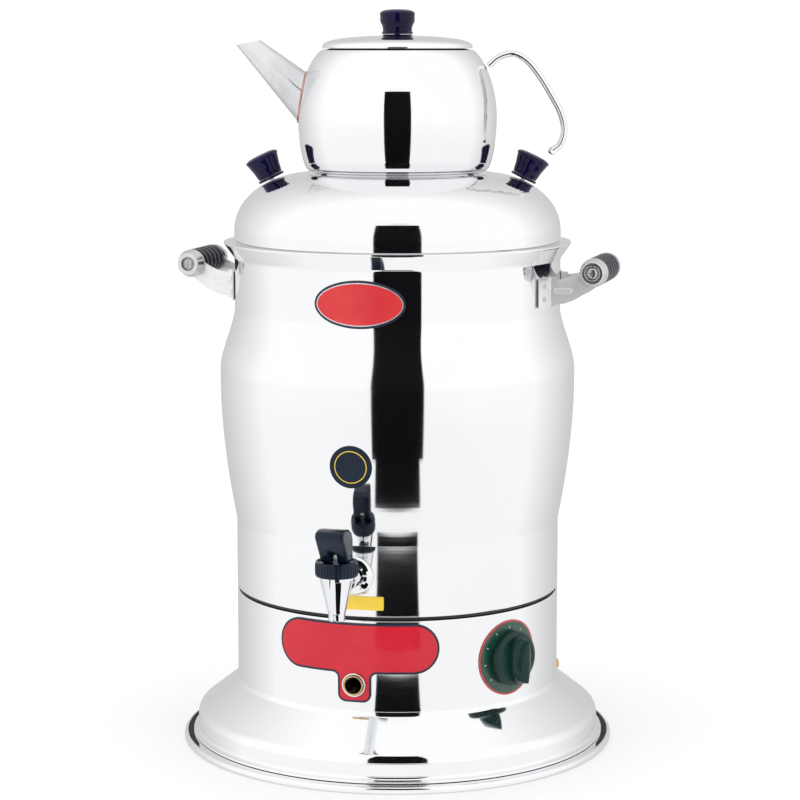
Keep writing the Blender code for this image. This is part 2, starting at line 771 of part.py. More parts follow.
def make_skirt():
    line = [
        (skirt_foot_radius - SKIRT_FOOT_WIDTH, skirt_bottom),
        (skirt_foot_radius, skirt_bottom),
        (skirt_wall_radius, skirt_bottom + SKIRT_FOOT_RISE),
        (skirt_wall_radius, skirt_wall_top),
        (skirt_shoulder_radius, skirt_shoulder),
        (skirt_cone_top_radius, skirt_cone_top),
        (BODY_RADIUS, collar_bottom),
        (BODY_RADIUS, collar_top),
        (ledge_radius, collar_top),
    ]
    skirt = turned("base_skirt", wall_outline(line, SKIRT_SHEET), steel, SHELL_SIDES)
    start = body_inner_radius - OVERRUN
    end = BODY_RADIUS + OVERRUN
    shape(skirt, rod_cutter("skirt_port_hole", PORT_SLEEVE_RADIUS + GAP, start, end,
                            radial_frame(0, port_height)))
    shape(skirt, rod_cutter("skirt_valve_hole", VALVE_SNOUT_RADIUS + GAP, start, end,
                            radial_frame(GAS_BEARING, gas_height)))
    shape(skirt, rod_cutter("skirt_nipple_hole", NIPPLE_RADIUS + NIPPLE_BARB + GAP, nipple_start, nipple_end,
                            radial_frame(NIPPLE_BEARING, nipple_height)))
    half_width = BACK_VENT_WIDTH / 2
    half_length = BACK_VENT_LENGTH / 2
    middle = (BACK_VENT_COUNT - 1) / 2
    for index in range(BACK_VENT_COUNT):
        angle = math.pi + (index - middle) * BACK_VENT_STEP / BODY_RADIUS
        cutter = box_cutter(f"back_vent_{index}", (-half_width, -half_length, start),
                            (half_width, half_length, end),
                            radial_frame(angle, (collar_bottom + collar_top) / 2))
        shape(skirt, cutter)


def make_seat_ring():
    outer = BODY_RADIUS - SEAT_RING_INSET
    inner = outer - SEAT_RING_WIDTH
    top = seat_ring_bottom + SEAT_RING_HEIGHT
    outline = [(inner, seat_ring_bottom), (outer, seat_ring_bottom), (outer, top), (inner, top)]
    turned("tank_seat_ring", outline, gasket, SHELL_SIDES)


def make_tank():
    mouth_radius = NECK_RADIUS + MOUTH_FLARE
    line = [(ledge_radius, body_bottom), (BODY_RADIUS, body_bottom), (BODY_RADIUS, belly_start)]
    for index in range(1, BELLY_STEPS + 1):
        height = belly_start + (belly_low - belly_start) * index / BELLY_STEPS
        line.append((body_radius(height), height))
    for index in range(SHOULDER_STEPS + 1):
        height = belly_high + (neck_start - belly_high) * index / SHOULDER_STEPS
        line.append((body_radius(height), height))
    line += [(NECK_RADIUS, neck_top), (mouth_radius, mouth_top), (mouth_radius, mouth_top + MOUTH_LIP)]
    body = turned("body_shell", wall_outline(line, BODY_SHEET), steel, SHELL_SIDES)
    shape(body, rod_cutter("body_tap_hole", SHANK_RADIUS + GAP, body_inner_radius - OVERRUN,
                           BODY_RADIUS + OVERRUN, radial_frame(0, tap_height)))
    floor_radius = body_inner_radius - GAP
    floor_line = [(floor_radius, tank_floor - TANK_FLOOR_FLANGE), (floor_radius, tank_floor), (0, tank_floor)]
    turned("tank_bottom", wall_outline(floor_line, TANK_FLOOR_SHEET), brushed, SHELL_SIDES)


def make_lid():
    plug_radius = NECK_RADIUS - BODY_SHEET - LID_PLUG_CLEARANCE
    line = [(plug_radius, lid_seat - LID_PLUG_DEPTH), (plug_radius, lid_seat), (NECK_RADIUS, lid_seat)]
    span = NECK_RADIUS - LID_FLAT_RADIUS
    stop = math.acos(LID_BRIM_WIDTH / span)
    well_radius = lid_brim_radius - LID_WELL_STEP
    for index in range(LID_ARC_STEPS + 1):
        angle = stop * index / LID_ARC_STEPS
        radius = LID_FLAT_RADIUS + span * math.cos(angle)
        line.append((radius, lid_wall_top + LID_RISE * math.sin(angle) / math.sin(stop)))
    line += [(well_radius, lid_well_height), (STEAM_HOLE_RADIUS, lid_well_height),
             (STEAM_HOLE_RADIUS, lid_well_height - STEAM_HOLE_LIP)]
    lid = turned("dome_lid", wall_outline(line, LID_SHEET), steel, SHELL_SIDES)
    return lid, line[3:]


def dome_height(line, radius):
    """Height of the dome's outer face at a radius, on the straight runs between its points."""
    for (r_low, z_low), (r_high, z_high) in zip(line, line[1:]):
        if r_high <= radius <= r_low and r_low > r_high:
            return z_low + (z_high - z_low) * (r_low - radius) / (r_low - r_high)
    return lid_brim_height


def knob_frame(side, line):
    """A frame on the dome whose Z axis leans outward like a lid knob."""
    direction = Vector((side * math.cos(LID_TURN), side * math.sin(LID_TURN), 0))
    foot = direction * knob_reach + Vector((0, 0, dome_height(line, knob_reach)))
    lean = (direction * math.sin(KNOB_TILT) + Vector((0, 0, math.cos(KNOB_TILT)))).normalized()
    turn = lean.to_track_quat("Z", "Y").to_matrix().to_4x4()
    return Matrix.Translation(foot) @ turn


def make_lid_knobs(lid, line):
    """Two knobs, each on a washer, screwed on from inside the dome."""
    fall = dome_height(line, knob_reach - WASHER_RADIUS) - dome_height(line, knob_reach + WASHER_RADIUS)
    slope = KNOB_TILT - math.atan2(fall, WASHER_RADIUS * 2)
    washer_start = GAP + WASHER_RADIUS * abs(math.tan(slope)) + DOME_CROWN_AT_WASHER
    washer_end = washer_start + WASHER_HEIGHT
    knob_start = washer_end + GAP
    knob_end = knob_start + KNOB_HEIGHT
    hole = KNOB_SCREW_RADIUS + RUNNING_GAP
    screw_depth = -(LID_SHEET + GAP + DOME_CROWN_AT_WASHER)
    screw_end = knob_start + KNOB_SCREW_REACH
    for side, word in ((-1, "left"), (1, "right")):
        place = knob_frame(side, line)
        washer = [(hole, washer_start), (WASHER_RADIUS, washer_start),
                  (WASHER_RADIUS, washer_end), (hole, washer_end)]
        turned(f"lid_knob_washer_{word}", washer, navy, TURNED_SIDES, place)
        head_edge = knob_end - KNOB_CROWN
        knob = [
            (hole, knob_start), (KNOB_FOOT_RADIUS, knob_start),
            (KNOB_HEAD_RADIUS, head_edge), (KNOB_HEAD_RADIUS, head_edge + KNOB_CROWN / 4),
            (KNOB_HEAD_RADIUS / 2, knob_end - KNOB_CROWN / 4), (0, knob_end),
            (0, screw_end + GAP), (hole, screw_end + GAP),
        ]
        turned(f"lid_knob_{word}", knob, navy, TURNED_SIDES, place)
        head_start = screw_depth - KNOB_SCREW_HEAD_HEIGHT
        screw = [
            (0, head_start), (KNOB_SCREW_HEAD_RADIUS, head_start), (KNOB_SCREW_HEAD_RADIUS, screw_depth),
            (KNOB_SCREW_RADIUS, screw_depth), (KNOB_SCREW_RADIUS, screw_end), (0, screw_end),
        ]
        turned(f"lid_knob_screw_{word}", screw, zinc, SMALL_SIDES, place)
        shape(lid, rod_cutter(f"lid_hole_{word}", hole, screw_depth - OVERRUN, washer_start + OVERRUN, place))


def make_teapot():
    belly = pot_bottom + POT_BELLY_HEIGHT
    corner_radius = POT_FOOT_RADIUS + POT_FOOT_CORNER
    corner_height = pot_bottom + POT_FOOT_CORNER
    line = [(0, pot_bottom), (POT_FOOT_RADIUS, pot_bottom), (corner_radius, corner_height)]
    for index in range(1, POT_LOWER_STEPS + 1):
        angle = math.pi / 2 * index / POT_LOWER_STEPS
        radius = corner_radius + (POT_BELLY_RADIUS - corner_radius) * math.sin(angle)
        line.append((radius, belly - (belly - corner_height) * math.cos(angle) ** POT_BELLY_POWER))
    for index in range(1, POT_UPPER_STEPS + 1):
        angle = math.pi / 2 * index / POT_UPPER_STEPS
        radius = POT_SHOULDER_RADIUS + (POT_BELLY_RADIUS - POT_SHOULDER_RADIUS) * math.cos(angle)
        line.append((radius, belly + (pot_top - POT_MOUTH_STEP - belly) * math.sin(angle)))
    line.append((POT_MOUTH_RADIUS, pot_top))
    turn = Matrix.Rotation(LID_TURN, 4, "Z")
    pot = turned("teapot_body", wall_outline(line, POT_SHEET), steel, POT_SIDES, turn)
    make_spout(pot, line, turn)
    make_pot_handle(line, turn)
    make_pot_lid(turn)


def pot_cutter(name, line, turn):
    """The teapot's outside, grown by the gap, as a cutter."""
    grown = offset_line(line[1:], -GAP)
    outline = [(0, pot_bottom - GAP)] + grown + [(0, pot_top + GAP)]
    return turned(name, outline, None, POT_SIDES, turn)


def make_spout(pot, line, turn):
    """A conical spout, welded on where it meets the pot; its wall is open at both ends."""
    mouth = Vector((-SPOUT_MOUTH_REACH, 0, pot_bottom + SPOUT_MOUTH_RISE))
    direction = Vector((-math.cos(SPOUT_ANGLE), 0, math.sin(SPOUT_ANGLE)))
    frame = turn @ Matrix.Translation(mouth) @ direction.to_track_quat("Z", "Y").to_matrix().to_4x4()
    past_mouth = SPOUT_MOUTH_RADIUS

    def radius(along):
        return SPOUT_MOUTH_RADIUS - SPOUT_TAPER_SHARE * along

    outline = [
        (radius(-SPOUT_LENGTH) - SPOUT_SHEET, -SPOUT_LENGTH), (radius(-SPOUT_LENGTH), -SPOUT_LENGTH),
        (radius(past_mouth), past_mouth), (radius(past_mouth) - SPOUT_SHEET, past_mouth),
    ]
    spout = turned("teapot_spout", outline, steel, TURNED_SIDES, frame)
    shape(spout, pot_cutter("spout_root_cutter", line, turn))
    reach = SPOUT_LENGTH / 2
    tilt = turn @ Matrix.Translation(mouth) @ Matrix.Rotation(-SPOUT_MOUTH_TILT, 4, "Y")
    shape(spout, box_cutter("spout_mouth_cutter", (-reach, -reach, 0), (reach, reach, reach), tilt))
    shape(pot, rod_cutter("pot_spout_hole", SPOUT_HOLE_RADIUS, -SPOUT_LENGTH, -SPOUT_LENGTH / 3, frame))


def make_pot_handle(line, turn):
    """An open strap handle with rounded edges, its root cut to the pot."""
    path = [(HANDLE_REACH * out, 0, pot_bottom + HANDLE_RISE * up) for out, up in HANDLE_PATH_SHARES]
    route = smooth_route(path, HANDLE_PATH_STEPS)
    half_width = STRAP_WIDTH / 2
    half_thick = STRAP_THICKNESS / 2
    rings = []
    for index, point in enumerate(route):
        ahead = route[min(index + 1, len(route) - 1)]
        behind = route[max(index - 1, 0)]
        along = (ahead - behind).normalized()
        across = Vector((along.z, 0, -along.x))
        rings.append([point + Vector((0, half_width * wide, 0)) + across * half_thick * thick
                      for wide, thick in STRAP_SECTION_SHARES])
    handle = lofted("teapot_handle", rings, steel, turn)
    shape(handle, pot_cutter("handle_root_cutter", line, turn))


def make_pot_lid(turn):
    base = pot_lid_bottom
    hole = POT_KNOB_STUD_RADIUS + RUNNING_GAP
    top = base + POT_LID_RISE
    dome = [
        (POT_LID_STEP_RADIUS, base + POT_LID_STEP_RISE),
        (POT_LID_DRUM_RADIUS, base + POT_LID_DRUM_RISE),
        (POT_LID_DRUM_RADIUS * POT_LID_CROWN_SHARE, top - POT_LID_SHEET),
        (POT_KNOB_FOOT_RADIUS, top),
        (hole, top),
    ]
    under = offset_line(dome, POT_LID_SHEET)
    plug_radius = POT_MOUTH_RADIUS - POT_SHEET - POT_LID_PLUG_CLEARANCE
    plug_bottom = base - POT_LID_PLUG_DEPTH
    outline = [
        (plug_radius - POT_LID_SHEET, plug_bottom), (plug_radius, plug_bottom), (plug_radius, base),
        (POT_LID_RADIUS, base), (POT_LID_RADIUS, base + POT_LID_EDGE),
    ]
    outline += dome + list(reversed(under)) + [(plug_radius - POT_LID_SHEET, base + POT_LID_EDGE)]
    turned("teapot_lid", outline, steel, POT_SIDES, turn)
    foot = top + GAP
    waist = foot + POT_KNOB_FLANGE * 2
    crown = foot + POT_KNOB_HEIGHT
    stud_end = top - POT_LID_SHEET - POT_KNOB_STUD_LENGTH
    knob = [
        (0, stud_end), (POT_KNOB_STUD_RADIUS, stud_end), (POT_KNOB_STUD_RADIUS, foot),
        (POT_KNOB_FOOT_RADIUS, foot), (POT_KNOB_FOOT_RADIUS, foot + POT_KNOB_FLANGE),
        (POT_KNOB_WAIST_RADIUS, waist), (POT_KNOB_HEAD_RADIUS, crown - POT_KNOB_FLANGE * 2),
        (POT_KNOB_HEAD_RADIUS, crown - POT_KNOB_FLANGE), (POT_KNOB_WAIST_RADIUS, crown - POT_KNOB_FLANGE / 3),
        (0, crown),
    ]
    turned("teapot_knob", knob, navy, TURNED_SIDES, turn)


def make_tap():
    """Tap body with its shank, the parts that clamp it to the tank, and the collar nut."""
    place = Matrix.Translation((0, -tap_reach, 0))
    outline = [
        (0, tap_bottom), (TAP_NOZZLE_RADIUS, tap_bottom), (TAP_NECK_RADIUS, tap_bottom + TAP_NOZZLE_LENGTH),
        (TAP_TOP_RADIUS, tap_shoulder), (TAP_TOP_RADIUS, tap_top), (0, tap_top),
    ]
    body = turned("tap_body", outline, chrome, SHELL_SIDES // 2, place)
    front = radial_frame(0, tap_height)
    shank = rod_cutter("tap_shank", SHANK_RADIUS, shank_end, tap_reach, front)
    shape(body, shank, "UNION")
    chamber = [
        (0, tap_bottom - OVERRUN), (TAP_NOZZLE_BORE, tap_bottom - OVERRUN),
        (TAP_NOZZLE_BORE, chamber_floor - SEAT_DEPTH), (CHAMBER_RADIUS, chamber_floor),
        (CHAMBER_RADIUS, tap_top + OVERRUN), (0, tap_top + OVERRUN),
    ]
    shape(body, turned("tap_chamber", chamber, None, SHELL_SIDES // 2, place))
    shape(body, rod_cutter("shank_bore", SHANK_BORE, shank_end - OVERRUN, tap_reach, front))
    notch_back = tap_reach + TAP_TOP_RADIUS - BODY_NOTCH_DEPTH
    notch_front = tap_reach + TAP_TOP_RADIUS + OVERRUN
    notch_side = BODY_NOTCH_WIDTH / 2
    shape(body, box_cutter("body_notch", (-notch_side, -notch_front, tap_shoulder - BODY_NOTCH_HEIGHT),
                           (notch_side, -notch_back, tap_top + OVERRUN)))
    slit_front = tap_reach + TAP_NECK_RADIUS + OVERRUN
    slit_side = NOZZLE_SLIT_WIDTH / 2
    shape(body, box_cutter("nozzle_slit", (-slit_side, -slit_front, tap_bottom - OVERRUN),
                           (slit_side, -tap_reach, tap_bottom + NOZZLE_SLIT_HEIGHT)))
    make_tap_clamp(front)
    make_collar_nut(place)


def make_tap_clamp(front):
    """Domed flange outside the tank, seal and lock nut inside it, all on the shank."""
    flange_start = BODY_RADIUS - OVERRUN
    flange = [(shank_hole, flange_start), (FLANGE_RADIUS, flange_start)]
    for out, up in FLANGE_PROFILE_SHARES:
        flange.append((FLANGE_RADIUS * out, BODY_RADIUS + FLANGE_THICKNESS * up))
    flange.append((shank_hole, BODY_RADIUS + FLANGE_THICKNESS))
    escutcheon = turned("tap_flange", flange, chrome, SHELL_SIDES // 2, front)
    tank_outside = rod_cutter("tank_outside", BODY_RADIUS + GAP, tap_height - FLANGE_RADIUS - OVERRUN,
                              tap_height + FLANGE_RADIUS + OVERRUN, Matrix.Identity(4), SHELL_SIDES)
    shape(escutcheon, tank_outside)
    seal_ring = [(shank_hole, seal_start), (SEAL_RADIUS, seal_start),
                 (SEAL_RADIUS, BODY_RADIUS), (shank_hole, BODY_RADIUS)]
    seal = turned("tap_seal", seal_ring, silicone, TURNED_SIDES, front)
    tank_inside = rod_cutter("tank_inside", tank_wall_inside, tap_height - SEAL_RADIUS - OVERRUN,
                             tap_height + SEAL_RADIUS + OVERRUN, Matrix.Identity(4), SHELL_SIDES)
    shape(seal, tank_inside, "INTERSECT")
    nut = [(shank_hole, lock_nut_start), (LOCK_NUT_RADIUS, lock_nut_start),
           (LOCK_NUT_RADIUS, lock_nut_end), (shank_hole, lock_nut_end)]
    hexagon = turned("tap_lock_nut", nut, zinc, HEX_SIDES, front)
    shape(hexagon, rod_cutter("lock_nut_bore", shank_hole, lock_nut_start - OVERRUN, lock_nut_end + OVERRUN,
                              front))


def make_collar_nut(place):
    """Ribbed collar nut with a socket below for the tap body and a dished top."""
    socket_radius = TAP_TOP_RADIUS + GAP
    socket_top = tap_top + GAP
    bore = STEM_RADIUS + RUNNING_GAP
    rim_inner = NUT_RADIUS - NUT_RIM
    outline = [
        (socket_radius, nut_bottom), (NUT_RADIUS, nut_bottom),
        (NUT_RADIUS, nut_top), (rim_inner, nut_top), (rim_inner, nut_dish), (bore, nut_dish),
        (bore, guide_bottom), (SPRING_RADIUS + SPRING_WIRE, guide_bottom),
        (SPRING_RADIUS + SPRING_WIRE, socket_top), (socket_radius, socket_top),
    ]
    collar = turned("tap_collar", outline, teal, SHELL_SIDES, place)
    for index, vertex in enumerate(collar.data.vertices):
        radius = Vector(vertex.co.xy).length
        turn = round(math.atan2(vertex.co.y, vertex.co.x) / math.tau * SHELL_SIDES)
        if radius > rim_inner + MERGE and turn % 2:
            vertex.co.xy = Vector(vertex.co.xy) * (1 - NUT_RIB_DEPTH / radius)


def make_tap_stem(empty):
    """Stem, seat seal and spring, which lift together off the nozzle."""
    place = Matrix.Translation((0, -tap_reach, 0))
    seal_bottom = chamber_floor - SEAT_DEPTH / 3
    seal_top = seal_bottom + SEAT_SEAL_HEIGHT
    pocket_bottom = seal_top - SEAT_SEAL_POCKET
    pocket_radius = STEM_RADIUS + GAP
    seat_slope = (CHAMBER_RADIUS - TAP_NOZZLE_BORE) / SEAT_DEPTH
    tip_radius = TAP_NOZZLE_BORE + seat_slope * (seal_bottom - chamber_floor + SEAT_DEPTH) - GAP * 2
    cone_rise = (SEAT_SEAL_RADIUS - tip_radius) / seat_slope
    cup = [
        (0, seal_bottom), (tip_radius, seal_bottom), (SEAT_SEAL_RADIUS, seal_bottom + cone_rise),
        (SEAT_SEAL_RADIUS, seal_top), (pocket_radius, seal_top), (pocket_radius, pocket_bottom),
        (0, pocket_bottom),
    ]
    seal = turned("tap_seat_seal", cup, silicone, TURNED_SIDES, place)
    eye_top = pin_height + STEM_EYE_DEPTH / 2
    eye_bottom = nut_dish + GAP
    rod_top = (eye_bottom + pin_height) / 2
    rod = [(0, pocket_bottom + GAP), (STEM_RADIUS, pocket_bottom + GAP), (STEM_RADIUS, rod_top), (0, rod_top)]
    stem = turned("tap_stem", rod, zinc, SMALL_SIDES, place)
    half_depth = STEM_EYE_DEPTH / 2
    eye_outline = arc((0, 0), half_depth, 0, math.pi, STEM_EYE_STEPS)
    eye_outline += [(-half_depth, eye_bottom - pin_height), (half_depth, eye_bottom - pin_height)]
    eye = extruded("stem_eye", eye_outline, STEM_EYE_WIDTH, None, side_frame(STEM_EYE_WIDTH))
    shape(stem, eye, "UNION")
    shape(stem, rod_cutter("stem_pin_hole", PIN_RADIUS + GAP, -PIN_LENGTH, PIN_LENGTH, pin_frame()))
    for piece in (stem, seal, make_spring(seal_top + GAP)):
        attach(piece, empty)


def make_spring(bottom):
    """Round wire wound between the seat seal and the collar nut."""
    half_wire = SPRING_WIRE / 2
    start = bottom + half_wire
    end = guide_bottom - GAP - half_wire
    steps = SPRING_TURNS * SPRING_TURN_STEPS
    points = []
    for index in range(steps + 1):
        angle = math.tau * index / SPRING_TURN_STEPS
        height = start + (end - start) * index / steps
        points.append((SPRING_RADIUS * math.cos(angle), SPRING_RADIUS * math.sin(angle) - tap_reach, height))
    curve = bpy.data.curves.new("tap_spring", "CURVE")
    curve.dimensions = "3D"
    curve.bevel_depth = half_wire
    curve.bevel_resolution = 1
    curve.use_fill_caps = True
    curve.materials.append(zinc)
    spline = curve.splines.new("POLY")
    spline.points.add(len(points) - 1)
    for target, point in zip(spline.points, points):
        target.co = (*point, 1)
    spring = bpy.data.objects.new("tap_spring", curve)
    bpy.context.collection.objects.link(spring)
    return spring


def make_tap_lever(empty):
    """Paddle on a round hub that is off centre, so that tipping it forward lifts the stem."""
    side_outline = arc((LEVER_HUB_OFFSET, 0), LEVER_HUB_RADIUS, -math.pi / 2, 0, LEVER_HUB_STEPS)
    side_outline += [(LEVER_TOE_REACH * out, LEVER_HEAD_HEIGHT * up) for out, up in LEVER_TOE_SHARES]
    side_outline += [(-LEVER_BACK_REACH * back, LEVER_HEAD_HEIGHT * up) for back, up in LEVER_BACK_SHARES]
    lever = extruded("tap_lever", side_outline, LEVER_WIDTH, teal, side_frame(LEVER_WIDTH))
    bevel = lever.modifiers.new("rounded edges", "BEVEL")
    bevel.width = LEVER_BEVEL
    bevel.segments = 2
    bevel.limit_method = "ANGLE"
    bevel.angle_limit = math.radians(50)
    slot = LEVER_SLOT_WIDTH / 2
    slot_front = -tap_reach - LEVER_TOE_REACH
    slot_back = -tap_reach + LEVER_TOE_REACH
    shape(lever, box_cutter("lever_slot", (-slot, slot_front, pin_height - LEVER_HUB_RADIUS - OVERRUN),
                            (slot, slot_back, pin_height + LEVER_SLOT_RISE)))
    shape(lever, rod_cutter("lever_pin_hole", PIN_RADIUS + GAP, -PIN_LENGTH, PIN_LENGTH, pin_frame()))
    half_pin = PIN_LENGTH / 2
    pin_outline = [(0, -half_pin), (PIN_RADIUS, -half_pin), (PIN_RADIUS, half_pin), (0, half_pin)]
    pin = turned("tap_lever_pin", pin_outline, zinc, SMALL_SIDES, pin_frame())
    for piece in (lever, pin):
        attach(piece, empty)


def pin_frame():
    """At the pin, with local Z along it."""
    return Matrix.Translation((0, -tap_reach, pin_height)) @ Matrix.Rotation(math.pi / 2, 4, "Y")


def side_frame(width):
    """At the pin: local x to the front, local y up, local z across from a cheek at +X."""
    turn = Matrix(((0, 0, -1, 0), (-1, 0, 0, 0), (0, 1, 0, 0), (0, 0, 0, 1)))
    return Matrix.Translation((width / 2, -tap_reach, pin_height)) @ turn


def make_handle(side, word):
    """Grip, two caps, two screws and two riveted arms of one side handle."""
    centre = Vector((side * grip_reach, 0, grip_height))
    along = Matrix.Translation(centre) @ Matrix.Rotation(math.pi / 2, 4, "X")
    half = GRIP_LENGTH / 2
    outline = [(GRIP_BORE, -half), (GRIP_RADIUS - GRIP_GROOVE, -half)]
    rib = GRIP_LENGTH / GRIP_RIBS
    for index in range(GRIP_RIBS):
        start = rib * index - half
        outline += [(GRIP_RADIUS, start + rib / 2), (GRIP_RADIUS - GRIP_GROOVE, start + rib)]
    outline.append((GRIP_BORE, half))
    turned(f"handle_grip_{word}", outline, navy, TURNED_SIDES, along)
    for end, end_word in ((-1, "front"), (1, "rear")):
        flip = along if end < 0 else along @ Matrix.Rotation(math.pi, 4, "X")
        make_cap(f"{word}_{end_word}", flip)
        make_arm(side, end, f"handle_arm_{word}_{end_word}")


def make_cap(words, place):
    """End cap outside the arm, and the screw through cap, arm and grip."""
    start = GRIP_LENGTH / 2 + GAP + ARM_SHEET + GAP
    end = start + CAP_LENGTH
    hole = SCREW_RADIUS + RUNNING_GAP
    recess = end - CAP_RECESS_DEPTH
    cap = [
        (hole, start), (GRIP_RADIUS, start), (GRIP_RADIUS, start + CAP_RIM), (CAP_FACE_RADIUS, end),
        (CAP_RECESS_RADIUS, end), (CAP_RECESS_RADIUS, recess), (hole, recess),
    ]
    turned(f"handle_cap_{words}", cap, brushed, TURNED_SIDES, place)
    head_start = recess + GAP
    head_end = head_start + SCREW_HEAD_HEIGHT
    tip = GRIP_LENGTH / 2 - SCREW_REACH
    screw_outline = [
        (0, tip), (SCREW_RADIUS, tip), (SCREW_RADIUS, head_start), (SCREW_HEAD_RADIUS, head_start),
        (SCREW_HEAD_RADIUS, head_end), (0, head_end),
    ]
    screw = turned(f"handle_screw_{words}", screw_outline, zinc, SMALL_SIDES, place)
    wide = SCREW_CROSS_LENGTH / 2
    thin = SCREW_CROSS_WIDTH / 2
    depth = head_start + SCREW_HEAD_HEIGHT / 3
    top = head_end + OVERRUN
    shape(screw, box_cutter(f"cross_a_{words}", (-wide, -thin, depth), (wide, thin, top), place))
    shape(screw, box_cutter(f"cross_b_{words}", (-thin, -wide, depth), (thin, wide, top), place))


def make_arm(side, end, name):
    """A strap that leaves the tank square to the grip, with a foot riveted to the tank."""
    face = GRIP_LENGTH / 2 + GAP
    surface = NECK_RADIUS + GAP
    low = arm_foot_height - ARM_FOOT_HEIGHT / 2
    high = arm_foot_height + ARM_FOOT_HEIGHT / 2
    start = math.asin(face / surface)
    sweep = ARM_FOOT_WIDTH / surface
    inner = arc((0, 0), surface, start, start + sweep, ARM_FOOT_STEPS)
    finish = math.asin((face + ARM_SHEET) / surface)
    outer = arc((0, 0), surface + ARM_SHEET, start + sweep, finish, ARM_FOOT_STEPS)
    reach = grip_reach + ARM_EYE_RADIUS
    plan = inner + outer + [(reach, face + ARM_SHEET), (reach, face)]
    plan = [(side * x, end * y) for x, y in plan]
    tallness = grip_height + ARM_EYE_RADIUS + OVERRUN - low
    strap = extruded(name, plan, tallness, brushed, Matrix.Translation((0, 0, low)))

    arm_start = surface + ARM_SHEET * 2
    eye = arc((grip_reach, grip_height), ARM_EYE_RADIUS, ARM_EYE_START, ARM_EYE_END, ARM_EYE_STEPS)
    bottom = []
    top = []
    for index in range(ARM_CURVE_STEPS + 1):
        t = index / ARM_CURVE_STEPS
        x = arm_start + (grip_reach - arm_start) * t
        rise = (grip_height - arm_foot_height) * t ** 2
        bottom.append((x, arm_foot_height - ARM_HEIGHT / 2 + rise))
        top.append((x, arm_foot_height + ARM_HEIGHT / 2 + rise))
    side_view = [(0, low), (arm_start, low)] + bottom[:-1] + eye + list(reversed(top[:-2]))
    side_view += [(arm_start, high), (0, high)]
    side_view = [(side * x, z) for x, z in side_view]
    depth = NECK_RADIUS * 2
    upright = Matrix.Translation((0, NECK_RADIUS, 0)) @ Matrix.Rotation(math.pi / 2, 4, "X")
    shape(strap, extruded("side_view_" + name, side_view, depth, None, upright), "INTERSECT")
    bolt = Matrix.Translation((side * grip_reach, 0, grip_height)) @ Matrix.Rotation(math.pi / 2, 4, "X")
    shape(strap, rod_cutter("eye_" + name, SCREW_RADIUS + RUNNING_GAP, -GRIP_LENGTH, GRIP_LENGTH, bolt))
    angle = side * (math.pi / 2 + end * (start + sweep * RIVET_PLACE_SHARE))
    for index in (-1, 1):
        place = radial_frame(angle, arm_foot_height + index * RIVET_SPACING / 2)
        bottom_of_head = surface + ARM_SHEET / 2
        head = rod_cutter(f"rivet_{index}_" + name, RIVET_RADIUS, bottom_of_head,
                          surface + ARM_SHEET + RIVET_HEIGHT, place)
        shape(strap, head, "UNION")


def collar_radius(height):
    return BODY_RADIUS


def label_seat(height):
    """The tank's radius with a gap more, because a label on the belly is bent one way only."""
    return body_radius(height) + GAP


def make_labels():
    make_front_plate()
    badge_height = neck_start + BADGE_RISE
    oval = [(x * BADGE_LENGTH / 2, badge_height + y * BADGE_HEIGHT / 2)
            for x, y in circle((0, 0), 1, BADGE_STEPS)]
    wrapped("oval_badge", oval, body_radius, BADGE_BEARING, PLATE_SHEET, red_plate)
    disc = circle((0, belly_start + DISC_RISE), DISC_RADIUS, DISC_STEPS)
    wrapped("disc_label", disc, label_seat, 0, PLATE_SHEET, blue_label)
    across = VOLUME_LENGTH / 2
    low = body_bottom + VOLUME_RISE - VOLUME_HEIGHT / 2
    high = low + VOLUME_HEIGHT
    volume = [(-across, low), (across, low), (across, high), (-across, high)]
    wrapped("volume_label", volume, body_radius, 0, LABEL_SHEET, yellow_label)
    dial = circle((0, gas_height), DIAL_RADIUS, DIAL_STEPS)
    bezel = wrapped("knob_bezel", dial, collar_radius, GAS_BEARING, LABEL_SHEET, dial_print)
    shape(bezel, rod_cutter("bezel_hole", DIAL_HOLE, BODY_RADIUS - OVERRUN, BODY_RADIUS + OVERRUN,
                            radial_frame(GAS_BEARING, gas_height)))


def make_front_plate():
    """Round-ended bar with a tab below it, which the lighting port goes through."""
    end_radius = FRONT_PLATE_HEIGHT / 2
    straight = FRONT_PLATE_LENGTH / 2 - end_radius
    level = plate_top - end_radius
    tab = FRONT_TAB_WIDTH / 2
    corner = FRONT_TAB_CORNER
    fillet = FRONT_FILLET
    fillet_level = plate_bottom - fillet
    corner_level = tab_bottom + corner
    quarter = math.pi / 2
    plan = arc((straight, level), end_radius, -quarter, quarter, ROUND_STEPS)
    plan += arc((-straight, level), end_radius, quarter, quarter * 3, ROUND_STEPS)
    plan += arc((-tab - fillet, fillet_level), fillet, quarter, 0, FRONT_FILLET_STEPS)
    plan += arc((-tab + corner, corner_level), corner, math.pi, quarter * 3, ROUND_STEPS // 2)
    plan += arc((tab - corner, corner_level), corner, -quarter, 0, ROUND_STEPS // 2)
    plan += arc((tab + fillet, fillet_level), fillet, math.pi, quarter, FRONT_FILLET_STEPS)
    plate = wrapped("front_plate", plan, collar_radius, 0, PLATE_SHEET, red_plate)
    shape(plate, rod_cutter("plate_port_hole", PORT_SLEEVE_RADIUS + GAP, BODY_RADIUS - OVERRUN,
                            BODY_RADIUS + OVERRUN, radial_frame(0, port_height)))


